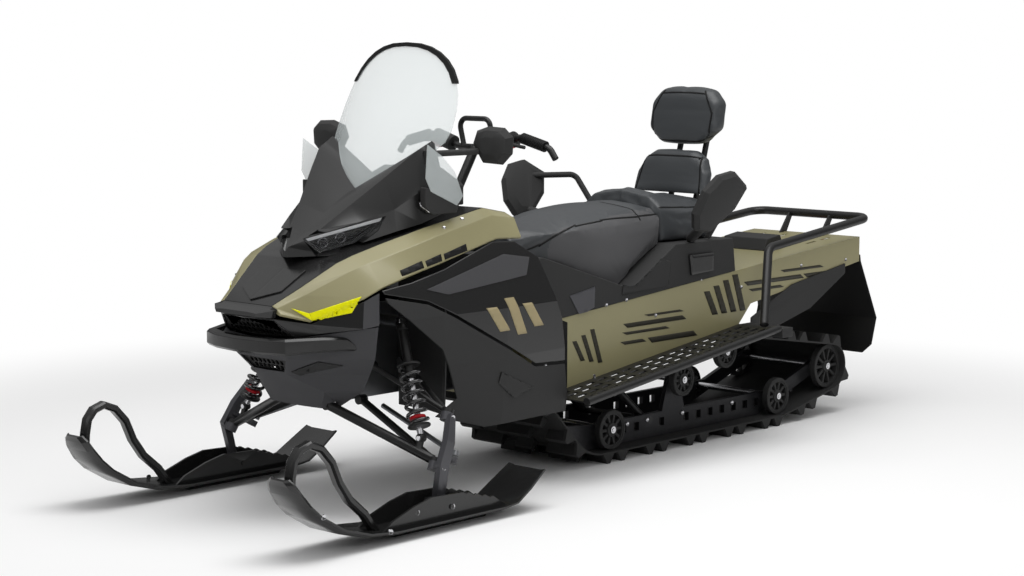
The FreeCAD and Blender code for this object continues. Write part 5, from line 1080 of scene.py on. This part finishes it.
FLOOR_RADIUS = 40.0
SENSOR_WIDTH = 36.0
FOCAL_PIXELS = 2147.6
PICTURE_WIDTH = 1024.0
CAMERA_AT = (5.5648, 5.0084, 1.48)
CAMERA_HEADING = 3.8895932
CAMERA_DROP = 0.116878357
CAMERA_ROLL = 0.00217907532


def seen_directly(tree):
    rays = add_node(tree, "ShaderNodeLightPath").outputs
    return math_node(tree, "MAXIMUM", rays["Is Camera Ray"], rays["Is Transmission Ray"])


def floor_material():
    material, tree, shader = new_material("pale_floor")
    feed(tree, shader, {"Base Color": (0.93, 0.93, 0.93, 1), "Roughness": 0.9, "Specular IOR Level": 0.1})
    white = add_node(tree, "ShaderNodeEmission", {"Strength": 1.0})
    point = add_node(tree, "ShaderNodeTexCoord").outputs["Object"]
    reach = add_node(tree, "ShaderNodeVectorMath", {0: point}, operation="LENGTH")
    fade = add_node(
        tree, "ShaderNodeMapRange", {"Value": reach.outputs["Value"], "From Min": 2.0, "From Max": 3.6},
        interpolation_type="SMOOTHSTEP",
    )
    share = math_node(tree, "MULTIPLY", fade.outputs[0], seen_directly(tree))
    blend = add_node(tree, "ShaderNodeMixShader", {0: share, 1: shader.outputs[0], 2: white.outputs[0]})
    feed(tree, tree.nodes["Material Output"], {"Surface": blend.outputs[0]})
    return material


def area_lamp(name, at, aim, size, power):
    data = bpy.data.lights.new(name, "AREA")
    data.shape = "RECTANGLE"
    data.size, data.size_y = size
    data.energy = power
    lamp = bpy.data.objects.new(name, data)
    lamp.location = at
    lamp.rotation_euler = (Vector(aim) - Vector(at)).to_track_quat("-Z", "Y").to_euler()
    bpy.context.collection.objects.link(lamp)


class SNOW_OT_stage(bpy.types.Operator):
    """Set out the floor, the soft studio light and the camera"""
    bl_idname = "snow.stage"
    bl_label = "Stage"

    def execute(self, context):
        bm = bmesh.new()
        bmesh.ops.create_circle(bm, cap_ends=True, segments=64, radius=FLOOR_RADIUS)
        mesh = bpy.data.meshes.new("floor")
        bm.to_mesh(mesh)
        bm.free()
        floor = bpy.data.objects.new("floor", mesh)
        mesh.materials.append(floor_material())
        context.collection.objects.link(floor)
        world = bpy.data.worlds.new("studio")
        context.scene.world = world
        world.use_nodes = True
        tree = world.node_tree
        heading = add_node(tree, "ShaderNodeTexCoord").outputs["Generated"]
        split = add_node(tree, "ShaderNodeSeparateXYZ", {0: heading})
        rise = add_node(tree, "ShaderNodeMapRange", {
            "Value": split.outputs["Z"], "From Min": 0.1, "From Max": 0.9, "To Min": 0.07, "To Max": 0.75
        })
        strength = math_node(tree, "MAXIMUM", seen_directly(tree), rise.outputs[0])
        feed(tree, tree.nodes["Background"], {"Color": (1, 1, 1, 1), "Strength": strength})
        area_lamp("top_light", (0.4, 0.6, 4.2), (0, 0, 0.4), (4.5, 2.6), 120)
        area_lamp("side_light", (1.0, 5.0, 2.4), (0, 0, 0.6), (4.0, 1.6), 26)
        area_lamp("front_light", (5.0, 1.0, 2.6), (0.6, 0, 0.6), (2.6, 1.6), 9)
        camera_data = bpy.data.cameras.new("camera")
        camera_data.sensor_width = SENSOR_WIDTH
        camera_data.lens = SENSOR_WIDTH * FOCAL_PIXELS / PICTURE_WIDTH
        camera_data.clip_end = 200.0
        camera = bpy.data.objects.new("camera", camera_data)
        camera.location = CAMERA_AT
        heading = Matrix.Rotation(CAMERA_HEADING - math.pi / 2, 4, "Z")
        tilt = Matrix.Rotation(math.pi / 2 - CAMERA_DROP, 4, "X")
        camera.rotation_euler = (heading @ tilt @ Matrix.Rotation(CAMERA_ROLL, 4, "Z")).to_euler()
        context.collection.objects.link(camera)
        context.scene.camera = camera
        context.scene.view_settings.view_transform = "Standard"
        return {"FINISHED"}


class SNOW_PT_sidebar(bpy.types.Panel):
    """Lists the steps that dress the snowmobile"""
    bl_idname = "SNOW_PT_sidebar"
    bl_label = "Snowmobile"
    bl_space_type = "VIEW_3D"
    bl_region_type = "UI"
    bl_category = "Snowmobile"

    def draw(self, context):
        for operator in OPERATORS:
            self.layout.operator(operator.bl_idname)


OPERATORS = (
    SNOW_OT_stage,
    SNOW_OT_panels,
    SNOW_OT_stripes,
    SNOW_OT_chassis,
    SNOW_OT_flap,
    SNOW_OT_skid,
    SNOW_OT_front,
    SNOW_OT_glazing,
    SNOW_OT_controls,
    SNOW_OT_seats,
)
CLASSES = (SNOW_PG_colours, SNOW_PG_sizes, *OPERATORS, SNOW_PT_sidebar)


def register():
    for item in CLASSES:
        bpy.utils.register_class(item)
    bpy.types.Scene.snow_colours = bpy.props.PointerProperty(type=SNOW_PG_colours)
    bpy.types.Scene.snow_sizes = bpy.props.PointerProperty(type=SNOW_PG_sizes)


def unregister():
    del bpy.types.Scene.snow_colours
    del bpy.types.Scene.snow_sizes
    for item in reversed(CLASSES):
        bpy.utils.unregister_class(item)


def main():
    register()
    for operator in OPERATORS:
        group, name = operator.bl_idname.split(".")
        getattr(getattr(bpy.ops, group), name)()


if __name__ == "__main__":
    main()
